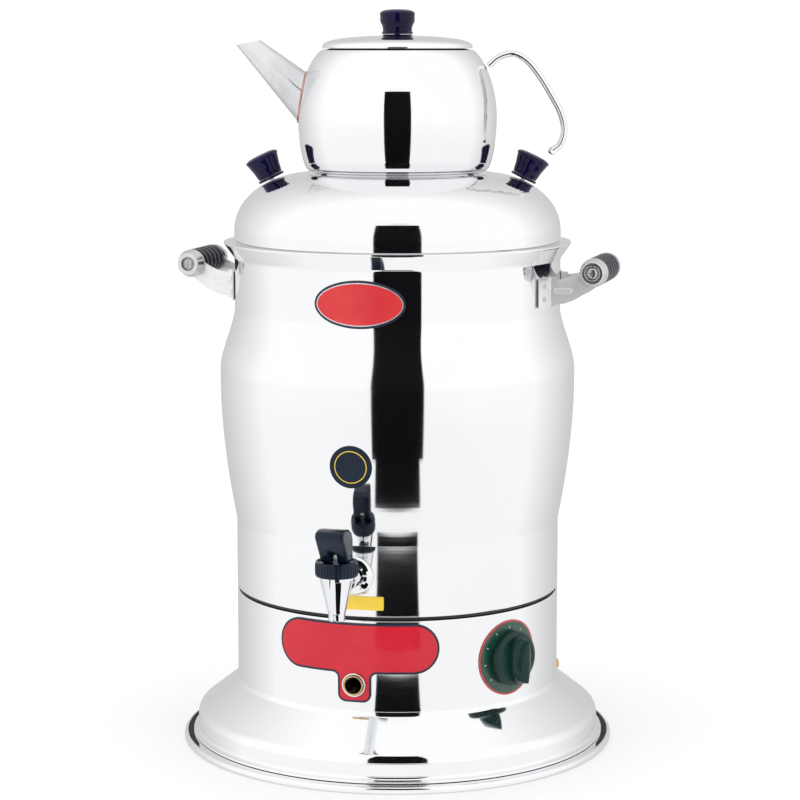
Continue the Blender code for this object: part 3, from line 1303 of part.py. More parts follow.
def make_port():
    place = radial_frame(0, port_height)
    sleeve_start = BODY_RADIUS - PORT_SLEEVE_INSIDE
    sleeve_end = BODY_RADIUS + PORT_SLEEVE_OUTSIDE
    sleeve = [(PORT_BORE, sleeve_start), (PORT_SLEEVE_RADIUS, sleeve_start),
              (PORT_SLEEVE_RADIUS, sleeve_end), (PORT_BORE, sleeve_end)]
    turned("lighting_port_sleeve", sleeve, brass, TURNED_SIDES, place)
    start = BODY_RADIUS + GAP + PLATE_SHEET + GAP
    end = start + PORT_RING_THICKNESS
    inner = PORT_SLEEVE_RADIUS + GAP
    ring = [(inner, start), (PORT_RING_RADIUS, start), (PORT_RING_RADIUS, end - GAP),
            (PORT_RING_RADIUS - GAP, end), (inner, end)]
    turned("lighting_port_ring", ring, chrome, TURNED_SIDES, place)


def make_gas_valve(turn_empty, push_empty):
    """Valve body on the skirt, tapered plug in it, and the spindle that is keyed in the plug."""
    place = radial_frame(GAS_BEARING, gas_height)
    bore = SPINDLE_RADIUS + RUNNING_GAP
    body = [
        (0, valve_rear), (VALVE_RADIUS, valve_rear), (VALVE_RADIUS, valve_flange_rear),
        (VALVE_FLANGE_RADIUS, valve_flange_rear), (VALVE_FLANGE_RADIUS, valve_flange_front),
        (VALVE_SNOUT_RADIUS, valve_flange_front), (VALVE_SNOUT_RADIUS, valve_snout_end),
        (bore, valve_snout_end), (bore, cavity_front), (VALVE_CAVITY_RADIUS, cavity_front),
        (PLUG_SMALL_RADIUS + GAP, cavity_rear), (0, cavity_rear),
    ]
    turned("gas_valve_body", body, brass, TURNED_SIDES, place)
    plug = [
        (0, cavity_rear + GAP), (PLUG_SMALL_RADIUS, cavity_rear + GAP),
        (VALVE_CAVITY_RADIUS - GAP, cavity_front - GAP), (bore, cavity_front - GAP),
        (bore, plug_socket_rear), (0, plug_socket_rear),
    ]
    attach(turned("gas_valve_plug", plug, brass, TURNED_SIDES, place), turn_empty)
    rod = [(0, spindle_rear), (SPINDLE_RADIUS, spindle_rear),
           (SPINDLE_RADIUS, spindle_front), (0, spindle_front)]
    attach(turned("gas_valve_spindle", rod, zinc, SMALL_SIDES, place), push_empty)
    attach(make_gas_knob(place), push_empty)


def make_gas_knob(place):
    hollow_end = gas_knob_back + GAS_KNOB_HOLLOW
    outline = [
        (0, hollow_end), (GAS_KNOB_HOLLOW_RADIUS, hollow_end), (GAS_KNOB_HOLLOW_RADIUS, gas_knob_back),
        (GAS_KNOB_RADIUS, gas_knob_back), (GAS_KNOB_RADIUS, gas_knob_back + GAS_KNOB_EDGE),
        (GAS_KNOB_FACE_RADIUS, gas_knob_face), (0, gas_knob_face),
    ]
    knob = turned("gas_knob", outline, green, SHELL_SIDES // 2, place)
    ridge = gas_knob_face + GAS_GRIP_RISE
    foot_share, shoulder_share, ridge_share = GAS_GRIP_LENGTH_SHARES
    sunk = (hollow_end + gas_knob_face) / 2
    rings = [
        lens_ring(GAS_GRIP_LENGTH * foot_share, GAS_GRIP_WIDTH, sunk),
        lens_ring(GAS_GRIP_LENGTH * foot_share, GAS_GRIP_WIDTH, gas_knob_face),
        lens_ring(GAS_GRIP_LENGTH * shoulder_share, GAS_GRIP_WIDTH * GAS_GRIP_WIDTH_SHARE,
                  ridge - GAS_GRIP_SHOULDER),
        lens_ring(GAS_GRIP_LENGTH * ridge_share, GAS_GRIP_RIDGE, ridge),
    ]
    shape(knob, lofted("knob_grip", rings, None, place), "UNION")
    shape(knob, rod_cutter("knob_socket", SPINDLE_RADIUS + GAP, gas_knob_back - OVERRUN, spindle_front + GAP,
                           place))
    return knob


def lens_ring(length, width, height):
    """A ring in the shape of a lens, its long axis upright."""
    half = length / 2
    ring = []
    for side in (1, -1):
        for index in range(GAS_GRIP_STEPS):
            t = index / GAS_GRIP_STEPS
            y = side * half * math.cos(math.pi * t)
            x = side * width / 2 * math.sin(math.pi * t)
            ring.append((x, y, height))
    return ring


def make_gas_line():
    """Hose nipple at the back, pipe to the valve, pipe to the jet."""
    place = radial_frame(NIPPLE_BEARING, nipple_height)
    barbs_start = nipple_end - NIPPLE_BARBS * NIPPLE_BARB_LENGTH
    outline = [(NIPPLE_BORE, nipple_start), (NIPPLE_RADIUS, nipple_start), (NIPPLE_RADIUS, barbs_start)]
    for index in range(NIPPLE_BARBS):
        begin = barbs_start + index * NIPPLE_BARB_LENGTH
        outline += [(NIPPLE_RADIUS + NIPPLE_BARB, begin), (NIPPLE_RADIUS, begin + NIPPLE_BARB_LENGTH)]
    outline.append((NIPPLE_BORE, nipple_end))
    turned("gas_nipple", outline, brass, TURNED_SIDES, place)
    under_valve = gas_height - VALVE_RADIUS - GAP
    valve_side = bearing(GAS_BEARING)
    start = bearing(NIPPLE_BEARING) * (nipple_start - GAP) + Vector((0, 0, nipple_height))
    inlet_reach = valve_flange_rear - INLET_INSET
    end = valve_side * inlet_reach + Vector((0, 0, under_valve))
    inward = bearing(NIPPLE_BEARING) * -PIPE_BEND
    route = [start, start + inward / 8, start + inward]
    for share in INLET_TURN_SHARES:
        angle = NIPPLE_BEARING + (GAS_BEARING - NIPPLE_BEARING) * share
        route.append(bearing(angle) * inlet_reach + Vector((0, 0, nipple_height)))
    rise = Vector((0, 0, PIPE_BEND))
    route += [end - rise, end - rise / 8, end]
    pipe("gas_inlet_pipe", route, PIPE_RADIUS, copper)
    top = valve_side * feed_reach + Vector((0, 0, under_valve))
    tail = valve_side * (jet_rear + GAP) + Vector((0, 0, mixer_height))
    corner = valve_side * feed_reach + Vector((0, 0, mixer_height))
    rise = Vector((0, 0, PIPE_ELBOW))
    inward = valve_side * -PIPE_ELBOW
    elbow = (rise + inward) * (1 - math.cos(math.pi / 4))
    short = valve_side * PIPE_RADIUS / 2
    route = [top, top - rise / 4, corner + rise, corner + elbow, corner + inward, tail + short, tail]
    pipe("gas_feed_pipe", route, PIPE_RADIUS, copper)
    jet = [
        (JET_BORE, jet_tip), (JET_RADIUS / 2, jet_tip), (JET_RADIUS, jet_tip + JET_RADIUS),
        (JET_RADIUS, jet_rear), (JET_BORE, jet_rear),
    ]
    turned("gas_jet", jet, brass, SMALL_SIDES, radial_frame(GAS_BEARING, mixer_height))


def make_burner():
    """Cast pot with its mixing tube, a cap with flame slots, and a pressed stand."""
    wall = BURNER_WALL
    line = [
        (0, burner_bottom), (BURNER_RADIUS - BURNER_CORNER, burner_bottom),
        (BURNER_RADIUS, burner_bottom + BURNER_CORNER), (BURNER_RADIUS, burner_top),
    ]
    pot = turned("burner_body", wall_outline(line, wall), iron, SHELL_SIDES // 2)
    mixer = radial_frame(GAS_BEARING, mixer_height)
    inside = BURNER_RADIUS - wall / 2
    shape(pot, rod_cutter("mixer_tube", MIXER_RADIUS, inside, mixer_end, mixer), "UNION")
    bore = MIXER_RADIUS - MIXER_WALL
    shape(pot, rod_cutter("mixer_bore", bore, inside - OVERRUN, mixer_end + OVERRUN, mixer))
    plug = BURNER_RADIUS - wall - GAP
    rim = BURNER_RADIUS + BURNER_CAP_OVERHANG
    seat = burner_top + GAP
    outline = [
        (BURNER_CAP_EYE, seat - BURNER_CAP_PLUG), (plug, seat - BURNER_CAP_PLUG), (plug, seat),
        (rim, seat), (rim, seat + BURNER_CAP_HEIGHT / 2),
        (rim * BURNER_CAP_TOP_SHARE, seat + BURNER_CAP_HEIGHT), (BURNER_CAP_EYE, seat + BURNER_CAP_HEIGHT),
    ]
    cap = turned("burner_cap", outline, iron, SHELL_SIDES // 2)
    half = FLAME_SLOT_WIDTH / 2
    reach = rim + OVERRUN
    top = seat + BURNER_CAP_HEIGHT
    for index in range(FLAME_SLOTS // 2):
        place = Matrix.Rotation(math.tau * (index + 0.5) / FLAME_SLOTS, 4, "Z")
        shape(cap, box_cutter(f"flame_slot_{index}", (-half, -reach, top - FLAME_SLOT_DEPTH),
                              (half, reach, top + OVERRUN), place))
    floor = TRAY_SHEET + GAP
    shelf = burner_bottom - GAP - STAND_SHEET
    toe = STAND_HALF_SPAN + STAND_FOOT
    line = [
        (-toe, floor), (-STAND_HALF_SPAN, floor), (-STAND_HALF_SPAN, shelf),
        (STAND_HALF_SPAN, shelf), (STAND_HALF_SPAN, floor), (toe, floor),
    ]
    upright = Matrix.Translation((0, STAND_DEPTH / 2, 0)) @ Matrix.Rotation(math.pi / 2, 4, "X")
    bent = rounded_line(line, STAND_BEND, STAND_BEND_STEPS)
    extruded("burner_bracket", wall_outline(bent, STAND_SHEET), STAND_DEPTH, zinc, upright)


make_tray()
make_skirt()
make_seat_ring()
make_tank()
dome_lid, dome_line = make_lid()
make_lid_knobs(dome_lid, dome_line)
make_teapot()
make_tap()
stem_axis = joint_empty("tap_stem_axis", (0, -tap_reach, tap_height))
lever_axis = joint_empty("tap_lever_axis", (0, -tap_reach, pin_height))
make_tap_stem(stem_axis)
make_tap_lever(lever_axis)
attach(lever_axis, stem_axis)
for handle_side, side_word in ((-1, "left"), (1, "right")):
    make_handle(handle_side, side_word)
make_labels()
make_port()
gas_axis = bearing(GAS_BEARING) * gas_knob_back + Vector((0, 0, gas_height))
gas_turn_axis = joint_empty("gas_turn_axis", gas_axis)
gas_push_axis = joint_empty("gas_push_axis", gas_axis)
make_gas_valve(gas_turn_axis, gas_push_axis)
attach(gas_push_axis, gas_turn_axis)
make_gas_line()
make_burner()
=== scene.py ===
import json
import math

import bmesh
import bpy
from mathutils import Matrix, Vector

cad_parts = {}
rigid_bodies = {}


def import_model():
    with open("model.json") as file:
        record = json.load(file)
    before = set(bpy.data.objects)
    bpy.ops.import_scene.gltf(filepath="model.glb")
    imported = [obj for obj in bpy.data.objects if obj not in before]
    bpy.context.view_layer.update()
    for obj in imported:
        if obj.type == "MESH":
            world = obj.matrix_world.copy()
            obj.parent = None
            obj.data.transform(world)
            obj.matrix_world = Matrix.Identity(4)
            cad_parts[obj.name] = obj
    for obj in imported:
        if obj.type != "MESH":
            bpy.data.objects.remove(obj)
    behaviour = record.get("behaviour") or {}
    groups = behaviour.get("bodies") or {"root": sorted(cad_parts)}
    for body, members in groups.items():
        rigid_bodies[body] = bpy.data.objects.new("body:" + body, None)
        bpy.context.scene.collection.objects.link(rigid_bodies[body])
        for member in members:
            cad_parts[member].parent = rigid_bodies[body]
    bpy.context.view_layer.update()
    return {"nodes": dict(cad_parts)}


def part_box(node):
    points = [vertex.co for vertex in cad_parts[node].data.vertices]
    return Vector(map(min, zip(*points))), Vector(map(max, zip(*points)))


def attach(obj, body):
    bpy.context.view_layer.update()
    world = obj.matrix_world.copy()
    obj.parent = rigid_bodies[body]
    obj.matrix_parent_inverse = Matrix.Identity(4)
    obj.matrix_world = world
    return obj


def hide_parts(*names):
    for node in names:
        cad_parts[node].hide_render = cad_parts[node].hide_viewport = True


for item in list(bpy.data.objects):
    bpy.data.objects.remove(item)
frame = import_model()
nodes = frame["nodes"]
print("frame loaded:", len(nodes), "nodes")

bpy.context.scene.view_settings.view_transform = "Standard"

# Height levels that several pieces share, in metres above the table
levels = {
    "collarTop": 0.1348, "tankBottom": 0.1378, "tankCrease": 0.1985, "bellyLow": 0.3170,
    "bellyHigh": 0.3302, "neckStart": 0.3830, "mouth": 0.4408, "potBottom": 0.4990,
    "potTop": 0.6083, "tapAxis": 0.1728, "gasAxis": 0.0951, "portAxis": 0.0797,
}
tankRadius = 0.1424
lidTurn = math.radians(14.7)
# cutters run from inside the wall to outside it, and past what they cut by the overrun
wallCut = (0.130, 0.150)
overrun = 0.004


def bearing(angle):
    return Vector((math.sin(angle), -math.cos(angle), 0))


def radialFrame(angle, height):
    # local Z points out of the tank at a bearing, local Y is up
    across = Vector((math.cos(angle), math.sin(angle), 0))
    turn = Matrix((across, Vector((0, 0, 1)), bearing(angle))).transposed().to_4x4()
    return Matrix.Translation((0, 0, height)) @ turn


def roundCorners(corners, steps=5, closed=False):
    # each corner is (radius, height) or (radius, height, fillet)
    points = []
    count = len(corners)
    for index, corner in enumerate(corners):
        here = Vector(corner[:2])
        fillet = corner[2] if len(corner) > 2 else 0
        if fillet == 0 or (not closed and index in (0, count - 1)):
            points.append(here)
            continue
        before = Vector(corners[index - 1][:2])
        after = Vector(corners[(index + 1) % count][:2])
        back = (before - here).normalized()
        ahead = (after - here).normalized()
        half = back.angle(ahead) / 2
        if half > 1.55:
            points.append(here)
            continue
        room = 0.48 * min((before - here).length, (after - here).length)
        reach = min(fillet / math.tan(half), room)
        radius = reach * math.tan(half)
        centre = here + (back + ahead).normalized() * radius / math.sin(half)
        first = here + back * reach - centre
        last = here + ahead * reach - centre
        for step in range(steps + 1):
            points.append(centre + first.slerp(last, step / steps).normalized() * radius)
    return points


def smoothLine(points, steps):
    # a Catmull-Rom curve through the points, in two or three dimensions
    route = [Vector(point) for point in points]
    padded = [route[0] * 2 - route[1]] + route + [route[-1] * 2 - route[-2]]
    result = []
    for index in range(1, len(padded) - 2):
        before, start, end, after = padded[index - 1:index + 3]
        for step in range(steps):
            t = step / steps
            spot = start * 2 + (end - before) * t + (before * 2 - start * 5 + end * 4 - after) * t ** 2
            spot += (start * 3 - before - end * 3 + after) * t ** 3
            result.append(spot / 2)
    result.append(route[-1])
    return result


def offsetLine(line, distance):
    # to the left of the way the line runs
    moved = []
    for index, here in enumerate(line):
        steps = []
        if index > 0:
            steps.append((here - line[index - 1]).normalized())
        if index < len(line) - 1:
            steps.append((line[index + 1] - here).normalized())
        normals = [Vector((-step.y, step.x)) for step in steps]
        mitre = (normals[0] + normals[-1]).normalized()
        spot = here + mitre * distance / max(mitre.dot(normals[0]), 0.35)
        moved.append(Vector((0, spot.y)) if here.x == 0 else spot)
    return moved


def wallLoop(line, sheet):
    inner = list(reversed(offsetLine(line, sheet)))
    return line + inner + [line[0]]


def addSupport(loop, near=0.0003, longest=0.012):
    # points close to the ends of long runs keep the shading of flats and curves apart
    result = []
    for here, after in zip(loop, loop[1:]):
        result.append(here)
        run = after - here
        length = run.length
        if length < near * 5:
            continue
        way = run / length
        result.append(here + way * near)
        pieces = int(length / longest)
        for index in range(1, pieces):
            result.append(here + run * index / pieces)
        result.append(after - way * near)
    result.append(loop[-1])
    return result


def settle(piece):
    # the evaluated shape becomes the plain mesh
    graph = bpy.context.evaluated_depsgraph_get()
    made = bpy.data.meshes.new_from_object(piece.evaluated_get(graph), depsgraph=graph)
    old = piece.data
    piece.modifiers.clear()
    piece.data = made
    bpy.data.meshes.remove(old)
    made.name = piece.name
    return piece


def shadeSmooth(mesh, sharp=40):
    mesh.shade_smooth()
    mesh.set_sharp_from_angle(angle=math.radians(sharp))


def tidyMesh(piece, sharp=40, place=None):
    build = bmesh.new()
    build.from_mesh(piece.data)
    bmesh.ops.remove_doubles(build, verts=build.verts, dist=0.000002)
    bmesh.ops.dissolve_degenerate(build, dist=0.000002, edges=build.edges)
    bmesh.ops.recalc_face_normals(build, faces=build.faces)
    if build.calc_volume(signed=True) < 0:
        bmesh.ops.reverse_faces(build, faces=build.faces)
    if place:
        build.transform(place)
        if place.determinant() < 0:
            bmesh.ops.reverse_faces(build, faces=build.faces)
    build.to_mesh(piece.data)
    build.free()
    shadeSmooth(piece.data, sharp)
    return piece


def linkPiece(name, mesh, material=None):
    piece = bpy.data.objects.new(name, mesh)
    bpy.context.scene.collection.objects.link(piece)
    if material:
        mesh.materials.clear()
        mesh.materials.append(material)
    return piece


def pieceFromBuild(name, build, material, sharp=40, place=None):
    mesh = bpy.data.meshes.new(name)
    build.to_mesh(mesh)
    build.free()
    return tidyMesh(linkPiece(name, mesh, material), sharp, place)


def oneFinish(piece, material):
    # node groups and cuts can leave empty material slots
    mesh = piece.data
    mesh.materials.clear()
    mesh.materials.append(material)
    mesh.polygons.foreach_set("material_index", [0] * len(mesh.polygons))
    return piece


def cutAway(piece, cutters, operation="DIFFERENCE", sharp=40):
    material = piece.data.materials[0]
    for cutter in cutters:
        modifier = piece.modifiers.new("cut", "BOOLEAN")
        modifier.operation = operation
        modifier.solver = "EXACT"
        modifier.object = cutter
    settle(piece)
    for cutter in cutters:
        mesh = cutter.data
        bpy.data.objects.remove(cutter)
        bpy.data.meshes.remove(mesh)
    return tidyMesh(oneFinish(piece, material), sharp)


def joinPieces(name, pieces):
    build = bmesh.new()
    materials = []
    for piece in pieces:
        first = len(build.faces)
        build.from_mesh(piece.data)
        build.faces.ensure_lookup_table()
        for material in piece.data.materials:
            if material not in materials:
                materials.append(material)
        number = materials.index(piece.data.materials[0])
        for index in range(first, len(build.faces)):
            build.faces[index].material_index = number
    mesh = bpy.data.meshes.new(name)
    build.to_mesh(mesh)
    build.free()
    for material in materials:
        mesh.materials.append(material)
    for piece in pieces:
        old = piece.data
        bpy.data.objects.remove(piece)
        bpy.data.meshes.remove(old)
    joined = linkPiece(name, mesh)
    shadeSmooth(mesh)
    return joined


def fit(piece, body, slotName, *replaced):
    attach(piece, body)
    if replaced:
        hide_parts(*replaced)
    return piece


def newTree(name, inputs):
    tree = bpy.data.node_groups.new(name, "GeometryNodeTree")
    tree.interface.new_socket("Geometry", in_out="INPUT", socket_type="NodeSocketGeometry")
    for label, kind in inputs:
        tree.interface.new_socket(label, in_out="INPUT", socket_type="NodeSocket" + kind)
    tree.interface.new_socket("Geometry", in_out="OUTPUT", socket_type="NodeSocketGeometry")
    return tree


def mathNode(tree, operation, first, second=None):
    node = tree.nodes.new("ShaderNodeMath")
    node.operation = operation
    for socket, value in zip(node.inputs, (first, second)):
        if value is None:
            continue
        if isinstance(value, (int, float)):
            socket.default_value = value
        else:
            tree.links.new(value, socket)
    return node.outputs[0]


def makeTurningTree():
    tree = newTree("turnOnAxis", (("Segments", "Int"), ("Material", "Material")))
    link = tree.links.new
    given = tree.nodes.new("NodeGroupInput")
    count = tree.nodes.new("GeometryNodeAttributeDomainSize")
    link(given.outputs["Geometry"], count.inputs[0])
    points = count.outputs["Point Count"]
    grid = tree.nodes.new("GeometryNodeMeshGrid")
    grid.inputs["Size X"].default_value = 1
    grid.inputs["Size Y"].default_value = 1
    link(points, grid.inputs["Vertices X"])
    link(mathNode(tree, "ADD", given.outputs["Segments"], 1), grid.inputs["Vertices Y"])
    spot = tree.nodes.new("GeometryNodeInputPosition")
    parts = tree.nodes.new("ShaderNodeSeparateXYZ")
    link(spot.outputs[0], parts.inputs[0])
    row = mathNode(tree, "MULTIPLY", mathNode(tree, "ADD", parts.outputs["X"], 0.5),
                   mathNode(tree, "SUBTRACT", points, 1))
    row = mathNode(tree, "ROUND", row)
    sample = tree.nodes.new("GeometryNodeSampleIndex")
    sample.data_type = "FLOAT_VECTOR"
    link(given.outputs["Geometry"], sample.inputs["Geometry"])
    link(spot.outputs[0], sample.inputs["Value"])
    link(row, sample.inputs["Index"])
    profile = tree.nodes.new("ShaderNodeSeparateXYZ")
    link(sample.outputs["Value"], profile.inputs[0])
    angle = mathNode(tree, "MULTIPLY", mathNode(tree, "ADD", parts.outputs["Y"], 0.5), math.tau)
    placed = tree.nodes.new("ShaderNodeCombineXYZ")
    link(mathNode(tree, "MULTIPLY", profile.outputs["X"], mathNode(tree, "SINE", angle)), placed.inputs["X"])
    forward = mathNode(tree, "MULTIPLY", profile.outputs["X"], mathNode(tree, "COSINE", angle))
    link(mathNode(tree, "MULTIPLY", forward, -1), placed.inputs["Y"])
    link(profile.outputs["Z"], placed.inputs["Z"])
    move = tree.nodes.new("GeometryNodeSetPosition")
    link(grid.outputs["Mesh"], move.inputs["Geometry"])
    link(placed.outputs[0], move.inputs["Position"])
    merge = tree.nodes.new("GeometryNodeMergeByDistance")
    merge.inputs["Distance"].default_value = 0.000002
    link(move.outputs[0], merge.inputs["Geometry"])
    realize = tree.nodes.new("GeometryNodeRealizeInstances")
    link(merge.outputs[0], realize.inputs[0])
    paint = tree.nodes.new("GeometryNodeSetMaterial")
    link(realize.outputs[0], paint.inputs["Geometry"])
    link(given.outputs["Material"], paint.inputs["Material"])
    link(paint.outputs[0], tree.nodes.new("NodeGroupOutput").inputs[0])
    return tree


def makeCopiesTree():
    tree = newTree("copiesRoundCircle", (("Count", "Int"), ("Radius", "Float"), ("Start", "Float"),
                                         ("Step", "Float"), ("Material", "Material")))
    link = tree.links.new
    given = tree.nodes.new("NodeGroupInput")
    index = tree.nodes.new("GeometryNodeInputIndex")
    angle = mathNode(tree, "ADD", mathNode(tree, "MULTIPLY", index.outputs[0], given.outputs["Step"]),
                     given.outputs["Start"])
    placed = tree.nodes.new("ShaderNodeCombineXYZ")
    link(mathNode(tree, "MULTIPLY", given.outputs["Radius"], mathNode(tree, "SINE", angle)),
         placed.inputs["X"])
    forward = mathNode(tree, "MULTIPLY", given.outputs["Radius"], mathNode(tree, "COSINE", angle))
    link(mathNode(tree, "MULTIPLY", forward, -1), placed.inputs["Y"])
    points = tree.nodes.new("GeometryNodePoints")
    link(given.outputs["Count"], points.inputs["Count"])
    link(placed.outputs[0], points.inputs["Position"])
    turn = tree.nodes.new("ShaderNodeCombineXYZ")
    link(angle, turn.inputs["Z"])
    copies = tree.nodes.new("GeometryNodeInstanceOnPoints")
    link(points.outputs[0], copies.inputs["Points"])
    link(given.outputs["Geometry"], copies.inputs["Instance"])
    link(turn.outputs[0], copies.inputs["Rotation"])
    realize = tree.nodes.new("GeometryNodeRealizeInstances")
    link(copies.outputs[0], realize.inputs[0])
    paint = tree.nodes.new("GeometryNodeSetMaterial")
    link(realize.outputs[0], paint.inputs["Geometry"])
    link(given.outputs["Material"], paint.inputs["Material"])
    link(paint.outputs[0], tree.nodes.new("NodeGroupOutput").inputs[0])
    return tree


turningTree = makeTurningTree()
copiesTree = makeCopiesTree()


def bridgeRings(build, rings, around=False, ends=False):
    # rings of as many points each; around joins the last ring to the first, ends closes both of them
    for low, high in zip(rings, rings[1:] + (rings[:1] if around else [])):
        for index in range(len(low)):
            after = (index + 1) % len(low)
            build.faces.new((low[index], low[after], high[after], high[index]))
    if ends:
        build.faces.new(rings[-1])
        build.faces.new(list(reversed(rings[0])))


def useTree(piece, tree, values):
    modifier = piece.modifiers.new(tree.name, "NODES")
    modifier.node_group = tree
    for item in tree.interface.items_tree:
        if item.item_type == "SOCKET" and item.in_out == "INPUT" and item.name in values:
            modifier[item.identifier] = values[item.name]
    return oneFinish(settle(piece), values["Material"])


def turned(name, loop, material, place=None, segments=96, sharp=40, support=True):
    # loop: (radius, height) points round the section, the first one repeated at the end
    loop = [Vector(point) for point in loop]
    if support:
        loop = addSupport(loop)
    mesh = bpy.data.meshes.new(name)
    mesh.from_pydata([(spot.x, 0, spot.y) for spot in loop],
                     [(index, index + 1) for index in range(len(loop) - 1)], [])
    piece = linkPiece(name, mesh)
    useTree(piece, turningTree, {"Segments": segments, "Material": material})
    return tidyMesh(piece, sharp, place)


def turnedSolid(name, corners, material, place=None, segments=96, steps=4, sharp=40):
    points = roundCorners(corners, steps, closed=corners[0][0] != 0 or corners[-1][0] != 0)
    return turned(name, points + [points[0]], material, place, segments, sharp)


def copiesRound(piece, count, radius, start, step, material, place=None, sharp=40):
    useTree(piece, copiesTree, {"Count": count, "Radius": radius, "Start": start, "Step": step,
                                "Material": material})
    shadeSmooth(piece.data, sharp)
    if place:
        piece.data.transform(place)
    return piece


def rodCutter(radius, start, end, place, segments=48):
    loop = [(0, start), (radius, start), (radius, end), (0, end), (0, start)]
    return turned("cutter", loop, None, place, segments, support=False)


def boxBuild(low, high):
    build = bmesh.new()
    middle = (Vector(low) + Vector(high)) / 2
    size = Vector(high) - Vector(low)
    bmesh.ops.create_cube(build, size=1)
    bmesh.ops.transform(build, verts=build.verts,
                        matrix=Matrix.Translation(middle) @ Matrix.Diagonal((*size, 1)))
    return build


def boxCutter(low, high, place=None):
    return pieceFromBuild("cutter", boxBuild(low, high), None, 30, place)


def newShaderGroup(name, inputs, outputs):
    group = bpy.data.node_groups.new(name, "ShaderNodeTree")
    for label, value in inputs:
        socket = group.interface.new_socket(label, in_out="INPUT", socket_type="NodeSocketFloat")
        socket.default_value = value
    for label in outputs:
        group.interface.new_socket(label, in_out="OUTPUT", socket_type="NodeSocketFloat")
    given = group.nodes.new("NodeGroupInput")
    given.name = "given"
    made = group.nodes.new("NodeGroupOutput")
    made.name = "made"
    return group


def noiseIn(tree, vector, scale, detail=3.0, roughness=0.5):
    noise = tree.nodes.new("ShaderNodeTexNoise")
    noise.inputs["Detail"].default_value = detail
    noise.inputs["Roughness"].default_value = roughness
    tree.links.new(vector, noise.inputs["Vector"])
    if isinstance(scale, (int, float)):
        noise.inputs["Scale"].default_value = scale
    else:
        tree.links.new(scale, noise.inputs["Scale"])
    return noise.outputs[0]


def stretchIn(tree, vector, scale):
    mapping = tree.nodes.new("ShaderNodeMapping")
    mapping.inputs["Scale"].default_value = scale
    tree.links.new(vector, mapping.inputs["Vector"])
    return mapping.outputs[0]


def rangeIn(tree, value, low, high, outLow, outHigh):
    node = tree.nodes.new("ShaderNodeMapRange")
    tree.links.new(value, node.inputs["Value"])
    for label, number in (("From Min", low), ("From Max", high), ("To Min", outLow), ("To Max", outHigh)):
        if isinstance(number, (int, float)):
            node.inputs[label].default_value = number
        else:
            tree.links.new(number, node.inputs[label])
    return node.outputs[0]


def makeHandlingGroup():
    # wiped smudges and a haze of short fine scratches, as a mask from 0 to 1
    group = newShaderGroup("handlingMarks", (("Smudge Scale", 9.0), ("Scratch Scale", 260.0),
                                             ("Scratch Share", 0.35)), ("Mask", "Scratches"))
    given, made = group.nodes["given"], group.nodes["made"]
    where = group.nodes.new("ShaderNodeTexCoord").outputs["Object"]
    smudge = noiseIn(group, stretchIn(group, where, (1.0, 1.0, 0.55)), given.outputs["Smudge Scale"], 4.0,
                     0.6)
    smudge = rangeIn(group, smudge, 0.42, 0.72, 0, 1)
    scratch = noiseIn(group, stretchIn(group, where, (1.0, 1.0, 0.06)), given.outputs["Scratch Scale"], 2.0,
                      0.7)
    scratch = rangeIn(group, scratch, 0.62, 0.74, 0, 1)
    cross = noiseIn(group, stretchIn(group, where, (0.05, 0.05, 1.0)), given.outputs["Scratch Scale"], 2.0,
                    0.7)
    cross = rangeIn(group, cross, 0.63, 0.76, 0, 1)
    both = mathNode(group, "MAXIMUM", scratch, cross)
    share = mathNode(group, "MULTIPLY", both, given.outputs["Scratch Share"])
    mix = mathNode(group, "MINIMUM",
                   mathNode(group, "ADD", mathNode(group, "MULTIPLY", smudge, 0.7), share), 1)
    group.links.new(mix, made.inputs["Mask"])
    group.links.new(both, made.inputs["Scratches"])
    return group


def makeSpunGroup():
    # rings left by spinning and polishing round the upright axis, and slow waves of the sheet
    group = newShaderGroup("spunSheet", (("Ring Scale", 900.0), ("Wave Scale", 7.0)), ("Rings", "Waves"))
    given, made = group.nodes["given"], group.nodes["made"]
    where = group.nodes.new("ShaderNodeTexCoord").outputs["Object"]
    rings = noiseIn(group, stretchIn(group, where, (0.012, 0.012, 1.0)), given.outputs["Ring Scale"], 2.0,
                    0.6)
    waves = noiseIn(group, stretchIn(group, where, (1.0, 1.0, 0.6)), given.outputs["Wave Scale"], 1.0, 0.4)
    group.links.new(rings, made.inputs["Rings"])
    group.links.new(waves, made.inputs["Waves"])
    return group


def makeGrainGroup():
    # the faint mottling and pits of moulded, cast or printed skins
    group = newShaderGroup("skinGrain", (("Grain Scale", 1400.0), ("Mottle Scale", 60.0)),
                           ("Grain", "Mottle"))
    given, made = group.nodes["given"], group.nodes["made"]
    where = group.nodes.new("ShaderNodeTexCoord").outputs["Object"]
    group.links.new(noiseIn(group, where, given.outputs["Grain Scale"], 2.0, 0.6), made.inputs["Grain"])
    group.links.new(noiseIn(group, where, given.outputs["Mottle Scale"], 4.0, 0.6), made.inputs["Mottle"])
    return group


handlingGroup = makeHandlingGroup()
spunGroup = makeSpunGroup()
grainGroup = makeGrainGroup()


def placeGroup(tree, group, values):
    node = tree.nodes.new("ShaderNodeGroup")
    node.node_tree = group
    for label, value in values.items():
        node.inputs[label].default_value = value
    return node


def mixColours(tree, factor, first, second):
    node = tree.nodes.new("ShaderNodeMix")
    node.data_type = "RGBA"
    tree.links.new(factor, node.inputs["Factor"])
    for label, colour in ((6, first), (7, second)):
        if isinstance(colour, tuple):
            node.inputs[label].default_value = (*colour, 1)
        else:
            tree.links.new(colour, node.inputs[label])
    return node.outputs[2]


def bumpIn(tree, height, strength, distance, normal=None):
    bump = tree.nodes.new("ShaderNodeBump")
    bump.inputs["Strength"].default_value = strength
    bump.inputs["Distance"].default_value = distance
    tree.links.new(height, bump.inputs["Height"])
    if normal:
        tree.links.new(normal, bump.inputs["Normal"])
    return bump.outputs[0]


